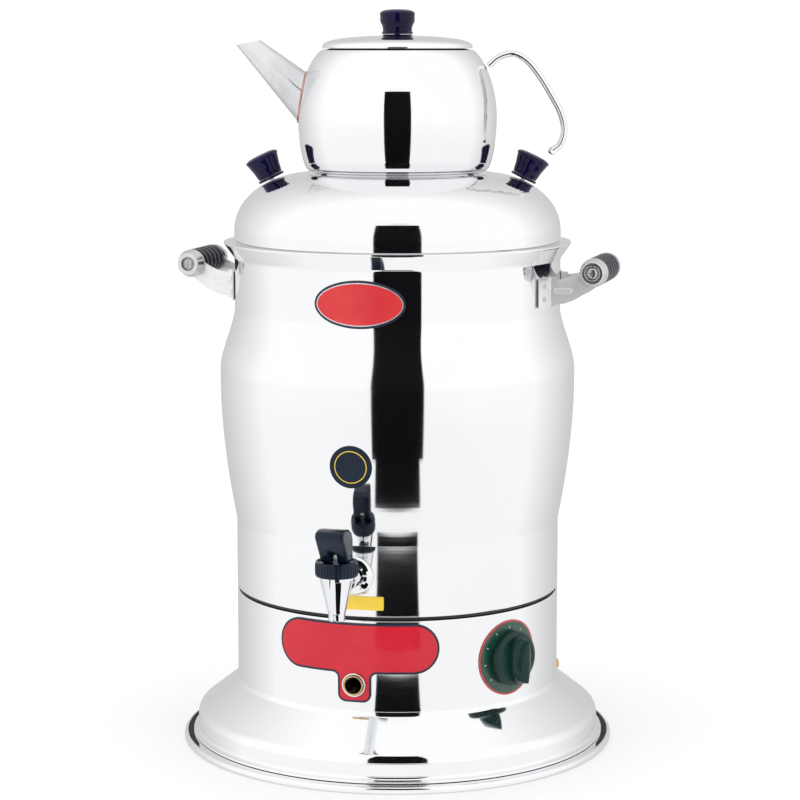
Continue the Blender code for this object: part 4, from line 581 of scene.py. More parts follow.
def startMaterial(name, settings):
    material = bpy.data.materials.new(name)
    material.use_nodes = True
    tree = material.node_tree
    shader = tree.nodes["Principled BSDF"]
    for label, value in settings.items():
        shader.inputs[label].default_value = value
    return material, tree, shader


def metalMaterial(name, clean, marked, rough, **own):
    values = {**metalUsual, **own}
    material, tree, shader = startMaterial(name, {"Metallic": values["metallic"]})
    marks = placeGroup(tree, handlingGroup, {"Smudge Scale": values["smudgeScale"],
                                             "Scratch Scale": values["scratchScale"],
                                             "Scratch Share": values["scratchShare"]})
    sheet = placeGroup(tree, spunGroup,
                       {"Ring Scale": values["ringScale"], "Wave Scale": values["waveScale"]})
    mask = marks.outputs["Mask"]
    tree.links.new(mixColours(tree, mask, clean, marked), shader.inputs["Base Color"])
    worn = rangeIn(tree, mask, 0, 1, *rough)
    ringShare = rangeIn(tree, sheet.outputs["Rings"], 0.35, 0.65, 0, values["ringRough"])
    tree.links.new(mathNode(tree, "ADD", worn, ringShare), shader.inputs["Roughness"])
    normal = bumpIn(tree, sheet.outputs["Waves"], values["waveStrength"], values["waveDepth"])
    normal = bumpIn(tree, sheet.outputs["Rings"], values["ringStrength"], 0.0001, normal)
    tree.links.new(normal, shader.inputs["Normal"])
    return material


def skinMaterial(name, deep, light, rough, settings=None, **own):
    # moulded resin, rubber, enamel, film and castings
    values = {**skinUsual, **own}
    material, tree, shader = startMaterial(name, settings or {})
    skin = placeGroup(tree, grainGroup, {"Grain Scale": values["grainScale"],
                                         "Mottle Scale": values["mottleScale"]})
    marks = placeGroup(tree, handlingGroup, {"Smudge Scale": values["smudgeScale"], "Scratch Scale": 420.0,
                                             "Scratch Share": 0.5})
    mottle = rangeIn(tree, skin.outputs["Mottle"], 0.35, 0.68, 0, 1)
    tree.links.new(mixColours(tree, mottle, deep, light), shader.inputs["Base Color"])
    worn = rangeIn(tree, marks.outputs["Mask"], 0, 1, *rough)
    tree.links.new(worn, shader.inputs["Roughness"])
    normal = bumpIn(tree, skin.outputs["Grain"], values["grainStrength"], 0.0002)
    tree.links.new(normal, shader.inputs["Normal"])
    return material


metalUsual = {"smudgeScale": 30.0, "scratchScale": 900.0, "scratchShare": 0.5, "ringScale": 2600.0,
              "waveScale": 40.0, "ringRough": 0.08, "waveStrength": 0.05, "waveDepth": 0.0006,
              "ringStrength": 0.03, "metallic": 1.0}
mirrorSteel = metalMaterial("mirrorSteel", (0.865, 0.87, 0.88), (0.825, 0.83, 0.84), (0.035, 0.085),
                            smudgeScale=8.0, scratchScale=240.0, scratchShare=0.3, ringScale=900.0,
                            waveScale=7.0, ringRough=0.015, waveStrength=0.1, waveDepth=0.003)
innerSteel = metalMaterial("innerSteel", (0.6, 0.6, 0.6), (0.5, 0.5, 0.49), (0.26, 0.42), smudgeScale=12.0,
                           scratchScale=200.0, scratchShare=0.6, ringScale=700.0, waveScale=9.0,
                           waveStrength=0.1, waveDepth=0.002, ringStrength=0.2)
brushedSteel = metalMaterial("brushedSteel", (0.72, 0.725, 0.73), (0.6, 0.6, 0.605), (0.16, 0.3),
                             scratchScale=600.0, ringRough=0.1, waveDepth=0.001, ringStrength=0.12)
brightChrome = metalMaterial("brightChrome", (0.83, 0.845, 0.87), (0.76, 0.775, 0.8), (0.025, 0.07),
                             smudgeScale=40.0, scratchScale=700.0, scratchShare=0.3, ringScale=2200.0,
                             waveScale=50.0, ringRough=0.01, waveStrength=0.04, ringStrength=0.01)
zincPlate = metalMaterial("zincPlate", (0.6, 0.62, 0.64), (0.42, 0.43, 0.43), (0.22, 0.45),
                          smudgeScale=60.0, scratchShare=0.6, ringScale=2400.0, waveScale=60.0,
                          ringStrength=0.1)
turnedBrass = metalMaterial("turnedBrass", (0.66, 0.44, 0.19), (0.36, 0.2, 0.09), (0.16, 0.42),
                            smudgeScale=70.0, scratchShare=0.6, waveScale=60.0, ringRough=0.06,
                            ringStrength=0.15)
# painted light: the arms' steel is a lighter, partly diffuse copy of the caps' brushed steel, so the arms read
# bright
armPaintedLightSteel = metalMaterial("armPaintedLightSteel", (0.86, 0.86, 0.865), (0.76, 0.76, 0.765), (0.36, 0.46),
                         scratchScale=600.0, ringRough=0.06, waveDepth=0.001, ringStrength=0.1, metallic=0.72)
# painted shade: the spout's steel is a darker copy of the mirror steel, and its much darker marked colour is
# smudges and painted dark streaks together, standing in for the darker reflections on the spout
spoutPaintedShadeSteel = metalMaterial("spoutPaintedShadeSteel", (0.72, 0.725, 0.74), (0.46, 0.465, 0.48), (0.07, 0.14),
                           smudgeScale=22.0, scratchScale=300.0, scratchShare=0.4, ringScale=1200.0,
                           waveScale=30.0, ringRough=0.02, waveStrength=0.3, waveDepth=0.002)
copperTube = metalMaterial("copperTube", (0.74, 0.38, 0.25), (0.45, 0.22, 0.15), (0.2, 0.45),
                           smudgeScale=40.0, scratchScale=700.0, ringScale=1600.0, ringRough=0.05,
                           waveDepth=0.0008, ringStrength=0.08)
solderSeam = metalMaterial("solderSeam", (0.62, 0.34, 0.27), (0.38, 0.2, 0.17), (0.22, 0.45),
                           smudgeScale=90.0, ringScale=1500.0, waveScale=200.0, ringRough=0.05,
                           waveStrength=0.5, ringStrength=0.05)
skinUsual = {"grainScale": 1200.0, "mottleScale": 55.0, "smudgeScale": 60.0, "grainStrength": 0.03}
navyResin = skinMaterial("navyResin", (0.003, 0.002, 0.024), (0.006, 0.004, 0.044), (0.08, 0.18),
                         {"Specular IOR Level": 0.22}, grainScale=1600.0, smudgeScale=45.0)
gripResin = skinMaterial("gripResin", (0.006, 0.006, 0.016), (0.01, 0.01, 0.026), (0.14, 0.26),
                         {"Specular IOR Level": 0.18}, grainScale=1600.0, smudgeScale=45.0,
                         grainStrength=0.05)
tealResin = skinMaterial("tealResin", (0.002, 0.008, 0.02), (0.004, 0.014, 0.03), (0.2, 0.34),
                         {"Specular IOR Level": 0.28}, grainScale=1700.0, mottleScale=70.0,
                         smudgeScale=50.0, grainStrength=0.05)
greenResin = skinMaterial("greenResin", (0.003, 0.022, 0.02), (0.006, 0.036, 0.031), (0.24, 0.4),
                          {"Specular IOR Level": 0.28}, grainScale=1500.0, mottleScale=60.0,
                          smudgeScale=50.0, grainStrength=0.06)
siliconeRubber = skinMaterial("siliconeRubber", (0.62, 0.61, 0.57), (0.74, 0.73, 0.69), (0.45, 0.65),
                              {"Subsurface Weight": 0.15, "Subsurface Scale": 0.002}, grainScale=900.0,
                              mottleScale=90.0, grainStrength=0.1)
blackRubber = skinMaterial("blackRubber", (0.01, 0.01, 0.011), (0.024, 0.024, 0.025), (0.45, 0.7),
                           mottleScale=80.0, smudgeScale=40.0, grainStrength=0.15)
castIron = skinMaterial("castIron", (0.03, 0.03, 0.032), (0.07, 0.068, 0.068), (0.55, 0.8),
                        {"Metallic": 0.4}, grainScale=600.0, mottleScale=120.0, smudgeScale=30.0,
                        grainStrength=0.6)
redEnamel = skinMaterial("redEnamel", (0.56, 0.01, 0.026), (0.64, 0.016, 0.034), (0.14, 0.26),
                         {"Coat Weight": 0.35, "Coat Roughness": 0.03, "Specular IOR Level": 0.25},
                         grainScale=900.0, mottleScale=25.0, smudgeScale=20.0, grainStrength=0.02)
badgeEnamel = skinMaterial("badgeEnamel", (0.6, 0.03, 0.036), (0.68, 0.045, 0.05), (0.22, 0.34),
                           {"Specular IOR Level": 0.3}, grainScale=900.0, mottleScale=30.0, smudgeScale=25.0)
borderEnamel = skinMaterial("borderEnamel", (0.018, 0.02, 0.04), (0.034, 0.038, 0.066), (0.2, 0.36),
                            {"Specular IOR Level": 0.3}, grainScale=1100.0, mottleScale=50.0,
                            smudgeScale=30.0, grainStrength=0.04)
silverInk = skinMaterial("silverInk", (0.62, 0.63, 0.66), (0.78, 0.79, 0.82), (0.25, 0.4),
                         {"Metallic": 0.5}, grainScale=1500.0, mottleScale=200.0, grainStrength=0.05)
discEnamel = skinMaterial("discEnamel", (0.003, 0.01, 0.024), (0.005, 0.016, 0.036), (0.2, 0.34),
                          {"Specular IOR Level": 0.25}, mottleScale=70.0, smudgeScale=40.0)
yellowFilm = skinMaterial("yellowFilm", (0.83, 0.56, 0.03), (0.9, 0.64, 0.05), (0.28, 0.42),
                          {"Coat Weight": 0.3, "Coat Roughness": 0.15}, grainScale=1000.0, mottleScale=60.0,
                          smudgeScale=50.0)
dialRed = skinMaterial("dialRed", (0.52, 0.03, 0.035), (0.61, 0.05, 0.05), (0.25, 0.4),
                       {"Coat Weight": 0.4, "Coat Roughness": 0.12}, mottleScale=90.0, grainStrength=0.04)
dialGreen = skinMaterial("dialGreen", (0.01, 0.055, 0.036), (0.02, 0.085, 0.055), (0.25, 0.4),
                         {"Coat Weight": 0.4, "Coat Roughness": 0.12}, mottleScale=110.0, grainStrength=0.04)
dialInk = skinMaterial("dialInk", (0.4, 0.48, 0.42), (0.6, 0.68, 0.62), (0.35, 0.5), grainScale=1400.0,
                       mottleScale=300.0, smudgeScale=90.0, grainStrength=0.04)
print("materials ready")


# the camera stands at the photograph's place; it looks down a little and a touch to the right
cameraPlace = {"distance": 2.12, "azimuth": math.radians(14.7), "height": 0.6115,
               "pitch": math.radians(8.33), "yaw": math.radians(0.06), "lens": 109.1}
cameraData = bpy.data.cameras.new("photoCamera")
cameraData.lens = cameraPlace["lens"]
cameraData.sensor_width = 36
camera = bpy.data.objects.new("photoCamera", cameraData)
camera.location = bearing(cameraPlace["azimuth"]) * cameraPlace["distance"] + Vector((0, 0,
                                                                                      cameraPlace["height"]))
camera.rotation_euler = (math.pi / 2 - cameraPlace["pitch"], 0, cameraPlace["azimuth"] - cameraPlace["yaw"])
bpy.context.scene.collection.objects.link(camera)
bpy.context.scene.camera = camera


def surfaceMaterial(name, colour, roughness, scale, share, shine=0.0):
    # plain paper or card, with a faint unevenness
    material, tree, shader = startMaterial(name, {"Roughness": roughness, "Specular IOR Level": shine})
    where = tree.nodes.new("ShaderNodeTexCoord").outputs["Object"]
    tone = noiseIn(tree, where, scale, 2.0, 0.5)
    darker = tuple(value * (1 - share) for value in colour)
    tree.links.new(mixColours(tree, tone, darker, colour), shader.inputs["Base Color"])
    return material


def stagePiece(name, build, material, glossyOnly=False):
    mesh = bpy.data.meshes.new(name)
    build.to_mesh(mesh)
    build.free()
    mesh.materials.append(material)
    piece = bpy.data.objects.new(name, mesh)
    bpy.context.scene.collection.objects.link(piece)
    if glossyOnly:
        piece.visible_camera = False
        piece.visible_diffuse = False
        piece.visible_shadow = False
        piece.visible_transmission = False
        piece.visible_volume_scatter = False
    return piece


def makeStage():
    values = {"floorHalf": 6.0, "sweepStart": 2.6, "sweepRadius": 1.6, "sweepHeight": 4.5, "sweepSteps": 24}
    paper = surfaceMaterial("whitePaper", (0.93, 0.93, 0.93), 0.9, 2.0, 0.01)
    build = bmesh.new()
    # floor and backdrop in one sweep, behind the object as the camera sees it
    profile = [(-values["floorHalf"], 0.0)]
    for step in range(values["sweepSteps"] + 1):
        angle = math.pi / 2 * step / values["sweepSteps"]
        profile.append((values["sweepStart"] + values["sweepRadius"] * math.sin(angle),
                        values["sweepRadius"] * (1 - math.cos(angle))))
    profile.append((values["sweepStart"] + values["sweepRadius"], values["sweepHeight"]))
    away = -bearing(cameraPlace["azimuth"])
    across = Vector((-away.y, away.x, 0))
    rows = [[build.verts.new(away * out + across * side * values["floorHalf"] + Vector((0, 0, up)))
             for side in (-1, 1)] for out, up in profile]
    for low, high in zip(rows, rows[1:]):
        build.faces.new((low[0], low[1], high[1], high[0]))
    bmesh.ops.recalc_face_normals(build, faces=build.faces)
    sweep = stagePiece("studioSweep", build, paper)
    shadeSmooth(sweep.data)
    sweep.visible_glossy = False


def makeRoomGlow():
    # the room is brightest on the camera's side and greyer behind the object
    values = {"ahead": 1.15, "behind": 0.66, "down": 0.93}
    world = bpy.data.worlds.new("studioWorld")
    world.use_nodes = True
    tree = world.node_tree
    where = tree.nodes.new("ShaderNodeTexCoord").outputs["Generated"]
    toward = tree.nodes.new("ShaderNodeVectorMath")
    toward.operation = "DOT_PRODUCT"
    toward.inputs[1].default_value = bearing(cameraPlace["azimuth"])
    tree.links.new(where, toward.inputs[0])
    glow = rangeIn(tree, toward.outputs["Value"], -0.95, -0.12, values["behind"], values["ahead"])
    parts = tree.nodes.new("ShaderNodeSeparateXYZ")
    tree.links.new(where, parts.inputs[0])
    low = rangeIn(tree, parts.outputs["Z"], -0.25, 0.0, values["down"], 1.0)
    background = tree.nodes["Background"]
    background.inputs["Color"].default_value = (1.0, 1.0, 1.0, 1)
    tree.links.new(mathNode(tree, "MULTIPLY", glow, low), background.inputs["Strength"])
    bpy.context.scene.world = world


def makeCards():
    # what the mirror steel shows as dark: the camera side of the room, low and upright, and the room behind
    values = {"frontDistance": 0.54, "frontHalf": 0.138, "frontLow": 0.125, "frontHigh": 0.80,
              "floorHeight": 0.0006, "backDistance": 1.0, "backHalf": 0.30, "backLow": 0.20, "backHigh": 0.47}
    dark = surfaceMaterial("blackCard", (0.006, 0.006, 0.007), 0.9, 3.0, 0.2)
    soft = surfaceMaterial("greyCard", (0.055, 0.055, 0.058), 0.9, 3.0, 0.2)
    facing = bearing(cameraPlace["azimuth"])
    across = Vector((facing.y, -facing.x, 0))

    def card(name, corners, material):
        build = bmesh.new()
        build.faces.new([build.verts.new(facing * out + across * side + Vector((0, 0, up)))
                         for out, side, up in corners])
        return stagePiece(name, build, material, glossyOnly=True)

    out, half = values["frontDistance"], values["frontHalf"]
    low, high = values["frontLow"], values["frontHigh"]
    card("frontCard", [(out, -half, low), (out, half, low), (out, half, high), (out, -half, high)], dark)
    # near and far end of each floor card and its half widths there
    level = values["floorHeight"]
    for name, near, far, nearHalf, farHalf in (("floorCardNear", 0.262, 0.474, 0.061, 0.105),
                                               ("floorCardFar", 0.570, 1.085, 0.140, 0.250)):
        card(name, [(near, -nearHalf, level), (near, nearHalf, level), (far, farHalf, level),
                    (far, -farHalf, level)], dark)
    out, half = -values["backDistance"], values["backHalf"]
    low, high = values["backLow"], values["backHigh"]
    card("backCard", [(out, -half, low), (out, half, low), (out, half, high), (out, -half, high)], soft)


def makeLights():
    lights = {"keyLeft": ((-1.7, -1.5, 1.9), 1.6, 4.5), "fillRight": ((1.9, -1.1, 1.5), 1.4, 2.5),
              "overhead": ((0.1, 0.1, 2.6), 1.8, 4.0)}
    for name, (place, size, power) in lights.items():
        data = bpy.data.lights.new(name, "AREA")
        data.shape = "DISK"
        data.size = size
        data.energy = power
        lamp = bpy.data.objects.new(name, data)
        lamp.location = place
        lamp.rotation_euler = (Vector((0, 0, 0.3)) - Vector(place)).to_track_quat("-Z", "Y").to_euler()
        lamp.visible_glossy = False
        bpy.context.scene.collection.objects.link(lamp)


makeStage()
makeRoomGlow()
makeCards()
makeLights()
print("stage ready")


def keepNodes(material, *names):
    # a CAD node whose shape is right stays, with a finer material
    for name in names:
        mesh = frame["nodes"][name].data
        mesh.materials.clear()
        mesh.materials.append(material)


def makeTray():
    values = {"radius": 0.1908, "rimHeight": 0.0062, "rimWidth": 0.0180, "sheet": 0.0012,
              "vents": 6, "ventRadius": 0.0090, "ventCircle": 0.0800}
    roll = values["rimHeight"] / 2
    line = [(0, 0), (values["radius"], 0, roll), (values["radius"], values["rimHeight"], roll),
            (values["radius"] - values["rimWidth"], values["rimHeight"])]
    loop = wallLoop(roundCorners(line, 10), values["sheet"])
    tray = turned("baseTray", loop, mirrorSteel, segments=160)
    vents = rodCutter(values["ventRadius"], -0.004, 0.004, None, 32)
    copiesRound(vents, values["vents"], values["ventCircle"], 0.0, math.tau / values["vents"], None)
    fit(cutAway(tray, [vents]), "boiler", "polished_steel", "base_tray")


def makeSkirt():
    values = {"bottom": 0.0065, "foot": 0.1828, "footWidth": 0.0100, "wall": 0.1782, "wallBottom": 0.0097,
              "wallTop": 0.0225, "shoulder": 0.1762, "shoulderHeight": 0.0280, "coneTop": 0.1440,
              "coneTopHeight": 0.0530, "collarBottom": 0.0565, "ledge": 0.1324, "sheet": 0.0010,
              "portHole": 0.0089, "valveHole": 0.0068, "nippleHole": 0.0067, "nippleHeight": 0.0375,
              "ventCount": 5, "ventWidth": 0.0060, "ventLength": 0.0300, "ventStep": 0.0160}
    line = [
        (values["foot"] - values["footWidth"], values["bottom"]),
        (values["foot"], values["bottom"], 0.0010),
        (values["foot"] - 0.0004, values["bottom"] + 0.0018, 0.0009),
        (values["wall"], values["wallBottom"], 0.0030),
        (values["wall"], values["wallTop"], 0.0030),
        (values["shoulder"], values["shoulderHeight"], 0.0090),
        (values["coneTop"], values["coneTopHeight"], 0.0030),
        (tankRadius, values["collarBottom"], 0.0020),
        (tankRadius, levels["collarTop"], 0.0010),
        (values["ledge"], levels["collarTop"]),
    ]
    skirt = turned("baseSkirt", wallLoop(roundCorners(line, 6), values["sheet"]), mirrorSteel, segments=192)
    port = rodCutter(values["portHole"], *wallCut, radialFrame(0, levels["portAxis"]))
    valve = rodCutter(values["valveHole"], *wallCut, radialFrame(gasBearing, levels["gasAxis"]))
    nipple = rodCutter(values["nippleHole"], 0.148, 0.178, radialFrame(nippleBearing, values["nippleHeight"]))
    halfWidth, halfLength = values["ventWidth"] / 2, values["ventLength"] / 2
    vent = boxCutter((-halfWidth, -0.010, -halfLength), (halfWidth, 0.010, halfLength))
    step = values["ventStep"] / tankRadius
    first = math.pi - step * (values["ventCount"] - 1) / 2
    middle = (values["collarBottom"] + levels["collarTop"]) / 2
    copiesRound(vent, values["ventCount"], tankRadius, first, step, None, Matrix.Translation((0, 0, middle)))
    fit(cutAway(skirt, [port, valve, nipple, vent]), "boiler", "polished_steel", "base_skirt")


def makeSeatRing():
    values = {"bottom": 0.1351, "height": 0.0024, "inset": 0.0025, "width": 0.0065}
    outer = tankRadius - values["inset"]
    inner = outer - values["width"]
    top = values["bottom"] + values["height"]
    ring = [(inner, values["bottom"], 0.0003), (outer, values["bottom"], 0.0005), (outer, top, 0.0005),
            (inner, top, 0.0003)]
    fit(turnedSolid("tankSeatRing", ring, blackRubber, segments=160), "boiler", "black_gasket",
        "tank_seat_ring")


def tankSide(height):
    # the tank's radius: straight wall, belly, shoulder and neck
    belly = 0.1556
    step = belly - tankRadius
    if height <= levels["tankCrease"] or height >= levels["neckStart"]:
        return tankRadius
    if height < levels["bellyLow"]:
        t = (height - levels["tankCrease"]) / (levels["bellyLow"] - levels["tankCrease"])
        return belly - step * (1 - t) ** 1.75
    if height <= levels["bellyHigh"]:
        return belly
    t = (height - levels["bellyHigh"]) / (levels["neckStart"] - levels["bellyHigh"])
    return belly - step * (0.65 * t * t * (3 - 2 * t) + 0.35 * t ** 1.5)


def makeTank():
    values = {"sheet": 0.0010, "ledge": 0.1324, "neckTop": 0.4282, "mouthRadius": 0.1516, "lip": 0.0015,
              "tapHole": 0.0083, "bellySteps": 28, "shoulderSteps": 18}
    line = [(values["ledge"], levels["tankBottom"]), (tankRadius, levels["tankBottom"], 0.0012),
            (tankRadius, levels["tankCrease"])]
    for first, last, steps in ((levels["tankCrease"], levels["bellyLow"], values["bellySteps"]),
                               (levels["bellyHigh"], levels["neckStart"], values["shoulderSteps"])):
        for step in range(1 if line[-1][1] == first else 0, steps + 1):
            height = first + (last - first) * step / steps
            line.append((tankSide(height), height))
    line += [(tankRadius, values["neckTop"], 0.0040),
             (values["mouthRadius"], levels["mouth"], 0.0012),
             (values["mouthRadius"], levels["mouth"] + values["lip"])]
    body = turned("tankBody", wallLoop(roundCorners(line, 6), values["sheet"]), mirrorSteel, segments=224,
                  sharp=30)
    hole = rodCutter(values["tapHole"], *wallCut, radialFrame(0, levels["tapAxis"]))
    fit(cutAway(body, [hole], sharp=30), "boiler", "polished_steel", "body_shell")


def domeProfile(steps):
    values = {"flat": 0.0780, "wallTop": 0.4513, "rise": 0.0500, "brimWidth": 0.0040}
    span = tankRadius - values["flat"]
    stop = math.acos(values["brimWidth"] / span)
    return [(values["flat"] + span * math.cos(stop * step / steps),
             values["wallTop"] + values["rise"] * math.sin(stop * step / steps) / math.sin(stop))
            for step in range(steps + 1)]


def makeLid():
    values = {"plug": 0.1398, "plugDepth": 0.0090, "seat": 0.4300, "well": 0.0798, "wellHeight": 0.4987,
              "steamHole": 0.0450, "steamLip": 0.0040, "sheet": 0.0010}
    line = [(values["plug"], values["seat"] - values["plugDepth"]), (values["plug"], values["seat"], 0.0005),
            (tankRadius, values["seat"], 0.0008)]
    dome = domeProfile(32)
    line += dome[:-1] + [(*dome[-1], 0.0012)]
    line += [(values["well"], values["wellHeight"], 0.0008),
             (values["steamHole"], values["wellHeight"], 0.0015),
             (values["steamHole"], values["wellHeight"] - values["steamLip"])]
    lid = turned("domeLid", wallLoop(roundCorners(line, 5), values["sheet"]), mirrorSteel, segments=224)
    holes = [rodCutter(0.0024, -0.006, 0.006, lidKnobFrame(side)) for side in (-1, 1)]
    fit(cutAway(lid, holes), "lid", "polished_steel", "dome_lid")


def lidKnobFrame(side):
    values = {"reach": 0.1090, "lean": math.radians(26.0)}
    direction = Vector((side * math.cos(lidTurn), side * math.sin(lidTurn), 0))
    dome = domeProfile(64)
    height = dome[-1][1]
    for (rLow, zLow), (rHigh, zHigh) in zip(dome, dome[1:]):
        if rHigh <= values["reach"] <= rLow:
            height = zLow + (zHigh - zLow) * (rLow - values["reach"]) / (rLow - rHigh)
    lean = (direction * math.sin(values["lean"]) + Vector((0, 0, math.cos(values["lean"])))).normalized()
    return Matrix.Translation(direction * values["reach"] + Vector((0, 0, height))) @ \
        lean.to_track_quat("Z", "Y").to_matrix().to_4x4()


def makeLidKnobs():
    values = {"washerStart": 0.0014, "washerRadius": 0.0118, "washerHeight": 0.0022, "gap": 0.0003,
              "foot": 0.0108, "head": 0.0150, "height": 0.0205, "hole": 0.0024,
              "socket": 0.0104}
    for side, word in ((-1, "left"), (1, "right")):
        place = lidKnobFrame(side)
        low = values["washerStart"]
        high = low + values["washerHeight"]
        washer = [(values["hole"], low), (values["washerRadius"], low, 0.0006),
                  (values["washerRadius"], high, 0.0008), (values["hole"], high)]
        fit(turnedSolid("lidKnobWasher_" + word, washer, navyResin, place, 64), "lid", "navy_plastic",
            "lid_knob_washer_" + word)
        base = high + values["gap"]
        height = values["height"]
        flank = smoothLine([(values["foot"], base + 0.0004), (values["foot"] + 0.0006, base + height * 0.14),
                            (values["foot"] + 0.0014, base + height * 0.38),
                            (values["foot"] + 0.0026, base + height * 0.60),
                            (values["head"] - 0.0008, base + height * 0.76),
                            (values["head"], base + height * 0.84), (values["head"] - 0.0014,
                                                                     base + height * 0.92),
                            (values["head"] * 0.62, base + height * 0.98), (0.0001, base + height)], 6)
        loop = [Vector((values["hole"], base)), Vector((values["foot"] - 0.0004, base))] + flank
        loop += [Vector((0, base + height)), Vector((0, base + values["socket"])),
                 Vector((values["hole"], base + values["socket"])), Vector((values["hole"], base))]
        fit(turned("lidKnob_" + word, loop, navyResin, place, 72), "lid", "navy_plastic", "lid_knob_" + word)


gasBearing = math.radians(56.5)
nippleBearing = math.radians(138.0)
makeTray()
makeSkirt()
makeSeatRing()
makeTank()
makeLid()
makeLidKnobs()
print("base, tank and dome lid ready")


def potProfile(lower, upper):
    values = {"foot": 0.0719, "corner": 0.0035, "belly": 0.0864, "bellyRise": 0.0500, "power": 1.15,
              "shoulder": 0.0655, "mouth": 0.0600, "mouthStep": 0.0010}
    bottom, top = levels["potBottom"], levels["potTop"]
    bellyHeight = bottom + values["bellyRise"]
    cornerRadius, cornerHeight = values["foot"] + values["corner"], bottom + values["corner"]
    line = [(0, bottom), (values["foot"], bottom, 0.0015), (cornerRadius, cornerHeight)]
    for step in range(1, lower + 1):
        angle = math.pi / 2 * step / lower
        line.append((cornerRadius + (values["belly"] - cornerRadius) * math.sin(angle),
                     bellyHeight - (bellyHeight - cornerHeight) * math.cos(angle) ** values["power"]))
    for step in range(1, upper + 1):
        angle = math.pi / 2 * step / upper
        line.append((values["shoulder"] + (values["belly"] - values["shoulder"]) * max(math.cos(angle),
                                                                                       0) ** 1.5,
                     bellyHeight + (top - values["mouthStep"] - bellyHeight) * math.sin(angle)))
    line[-1] = (*line[-1], 0.0008)
    return line + [(values["mouth"], top)]


def potRadius(line, height):
    for low, high in zip(line[1:], line[2:]):
        if low[1] <= height <= high[1] and high[1] > low[1]:
            return low[0] + (high[0] - low[0]) * (height - low[1]) / (high[1] - low[1])
    return line[-1][0]


def potCutter(line):
    grown = offsetLine([Vector(point[:2]) for point in line[1:]], -0.0003)
    loop = [Vector((0, line[0][1] - 0.0003))] + grown + [Vector((0, line[-1][1] + 0.0003))]
    return turned("cutter", loop + [loop[0]], None, potTurn, 128, support=False)


def sweepBuild(route, section, across, closed=False):
    # section points are (along across, along up) pairs; the ends are capped when the route is open
    build = bmesh.new()
    rings = []
    last = len(route) - 1
    for index, here in enumerate(route):
        ahead = route[(index + 1) % len(route)] if closed else route[min(index + 1, last)]
        behind = route[index - 1] if closed else route[max(index - 1, 0)]
        along = (ahead - behind).normalized()
        side = across if across else Vector((0, 0, 1)).cross(along).normalized()
        up = along.cross(side).normalized()
        rings.append([build.verts.new(here + side * x + up * y) for x, y in section])
    count = len(section)
    pairs = list(zip(rings, rings[1:])) + ([(rings[-1], rings[0])] if closed else [])
    for low, high in pairs:
        for index in range(count):
            after = (index + 1) % count
            build.faces.new((low[index], low[after], high[after], high[index]))
    if not closed:
        build.faces.new(list(reversed(rings[0])))
        build.faces.new(rings[-1])
    return build


def makeTeapot():
    values = {"sheet": 0.0009, "spoutHole": 0.0110}
    line = potProfile(22, 26)
    pot = turned("teapotBody", wallLoop(roundCorners(line, 5), values["sheet"]), mirrorSteel, potTurn, 192)
    hole = rodCutter(values["spoutHole"], -0.090, -0.030, spoutFrame())
    fit(cutAway(pot, [hole]), "teapot", "polished_steel", "teapot_body")
    return line


spoutValues = {"reach": 0.1301, "rise": 0.1144, "angle": math.radians(43.0), "mouth": 0.0086, "taper": 0.144,
               "length": 0.0900, "sheet": 0.0009, "tilt": math.radians(10.8), "seamRadius": 0.0011,
               "seamSteps": 72, "halvings": 40}


def spoutFrame():
    mouth = Vector((-spoutValues["reach"], 0, levels["potBottom"] + spoutValues["rise"]))
    direction = Vector((-math.cos(spoutValues["angle"]), 0, math.sin(spoutValues["angle"])))
    return potTurn @ Matrix.Translation(mouth) @ direction.to_track_quat("Z", "Y").to_matrix().to_4x4()


def makeSpout(line):
    values = spoutValues
    place = spoutFrame()

    def radius(along):
        return values["mouth"] - values["taper"] * along

    root, past = -values["length"], values["mouth"]
    loop = [(radius(root) - values["sheet"], root), (radius(root), root), (radius(past), past),
            (radius(past) - values["sheet"], past), (radius(root) - values["sheet"], root)]
    spout = turned("teapotSpout", loop, spoutPaintedShadeSteel, place, 96)
    mouth = Vector((-values["reach"], 0, levels["potBottom"] + values["rise"]))
    tilt = potTurn @ Matrix.Translation(mouth) @ Matrix.Rotation(-values["tilt"], 4, "Y")
    half = values["length"] / 2
    cutAway(spout, [potCutter(line), boxCutter((-half, -half, 0), (half, half, half), tilt)])
    # the soldered seam where the spout meets the pot
    route = []
    for step in range(values["seamSteps"]):
        angle = math.tau * step / values["seamSteps"]
        low, high = root, 0.0
        for _halving in range(values["halvings"]):
            along = (low + high) / 2
            spot = place @ Vector((radius(along) * math.cos(angle), radius(along) * math.sin(angle), along))
            if spot.xy.length < potRadius(line, spot.z):
                low = along
            else:
                high = along
        route.append(spot)
    section = [(values["seamRadius"] * math.cos(math.tau * index / 10),
                values["seamRadius"] * math.sin(math.tau * index / 10)) for index in range(10)]
    build = bmesh.new()
    rings = []
    centre = sum(route, Vector()) / len(route)
    for index, here in enumerate(route):
        along = (route[(index + 1) % len(route)] - route[index - 1]).normalized()
        side = (here - centre).normalized()
        up = along.cross(side).normalized()
        rings.append([build.verts.new(here + side * x + up * y) for x, y in section])
    bridgeRings(build, rings, around=True)
    seam = pieceFromBuild("spoutSeam", build, solderSeam)
    fit(joinPieces("teapotSpout", [spout, seam]), "teapot", "polished_steel", "teapot_spout")


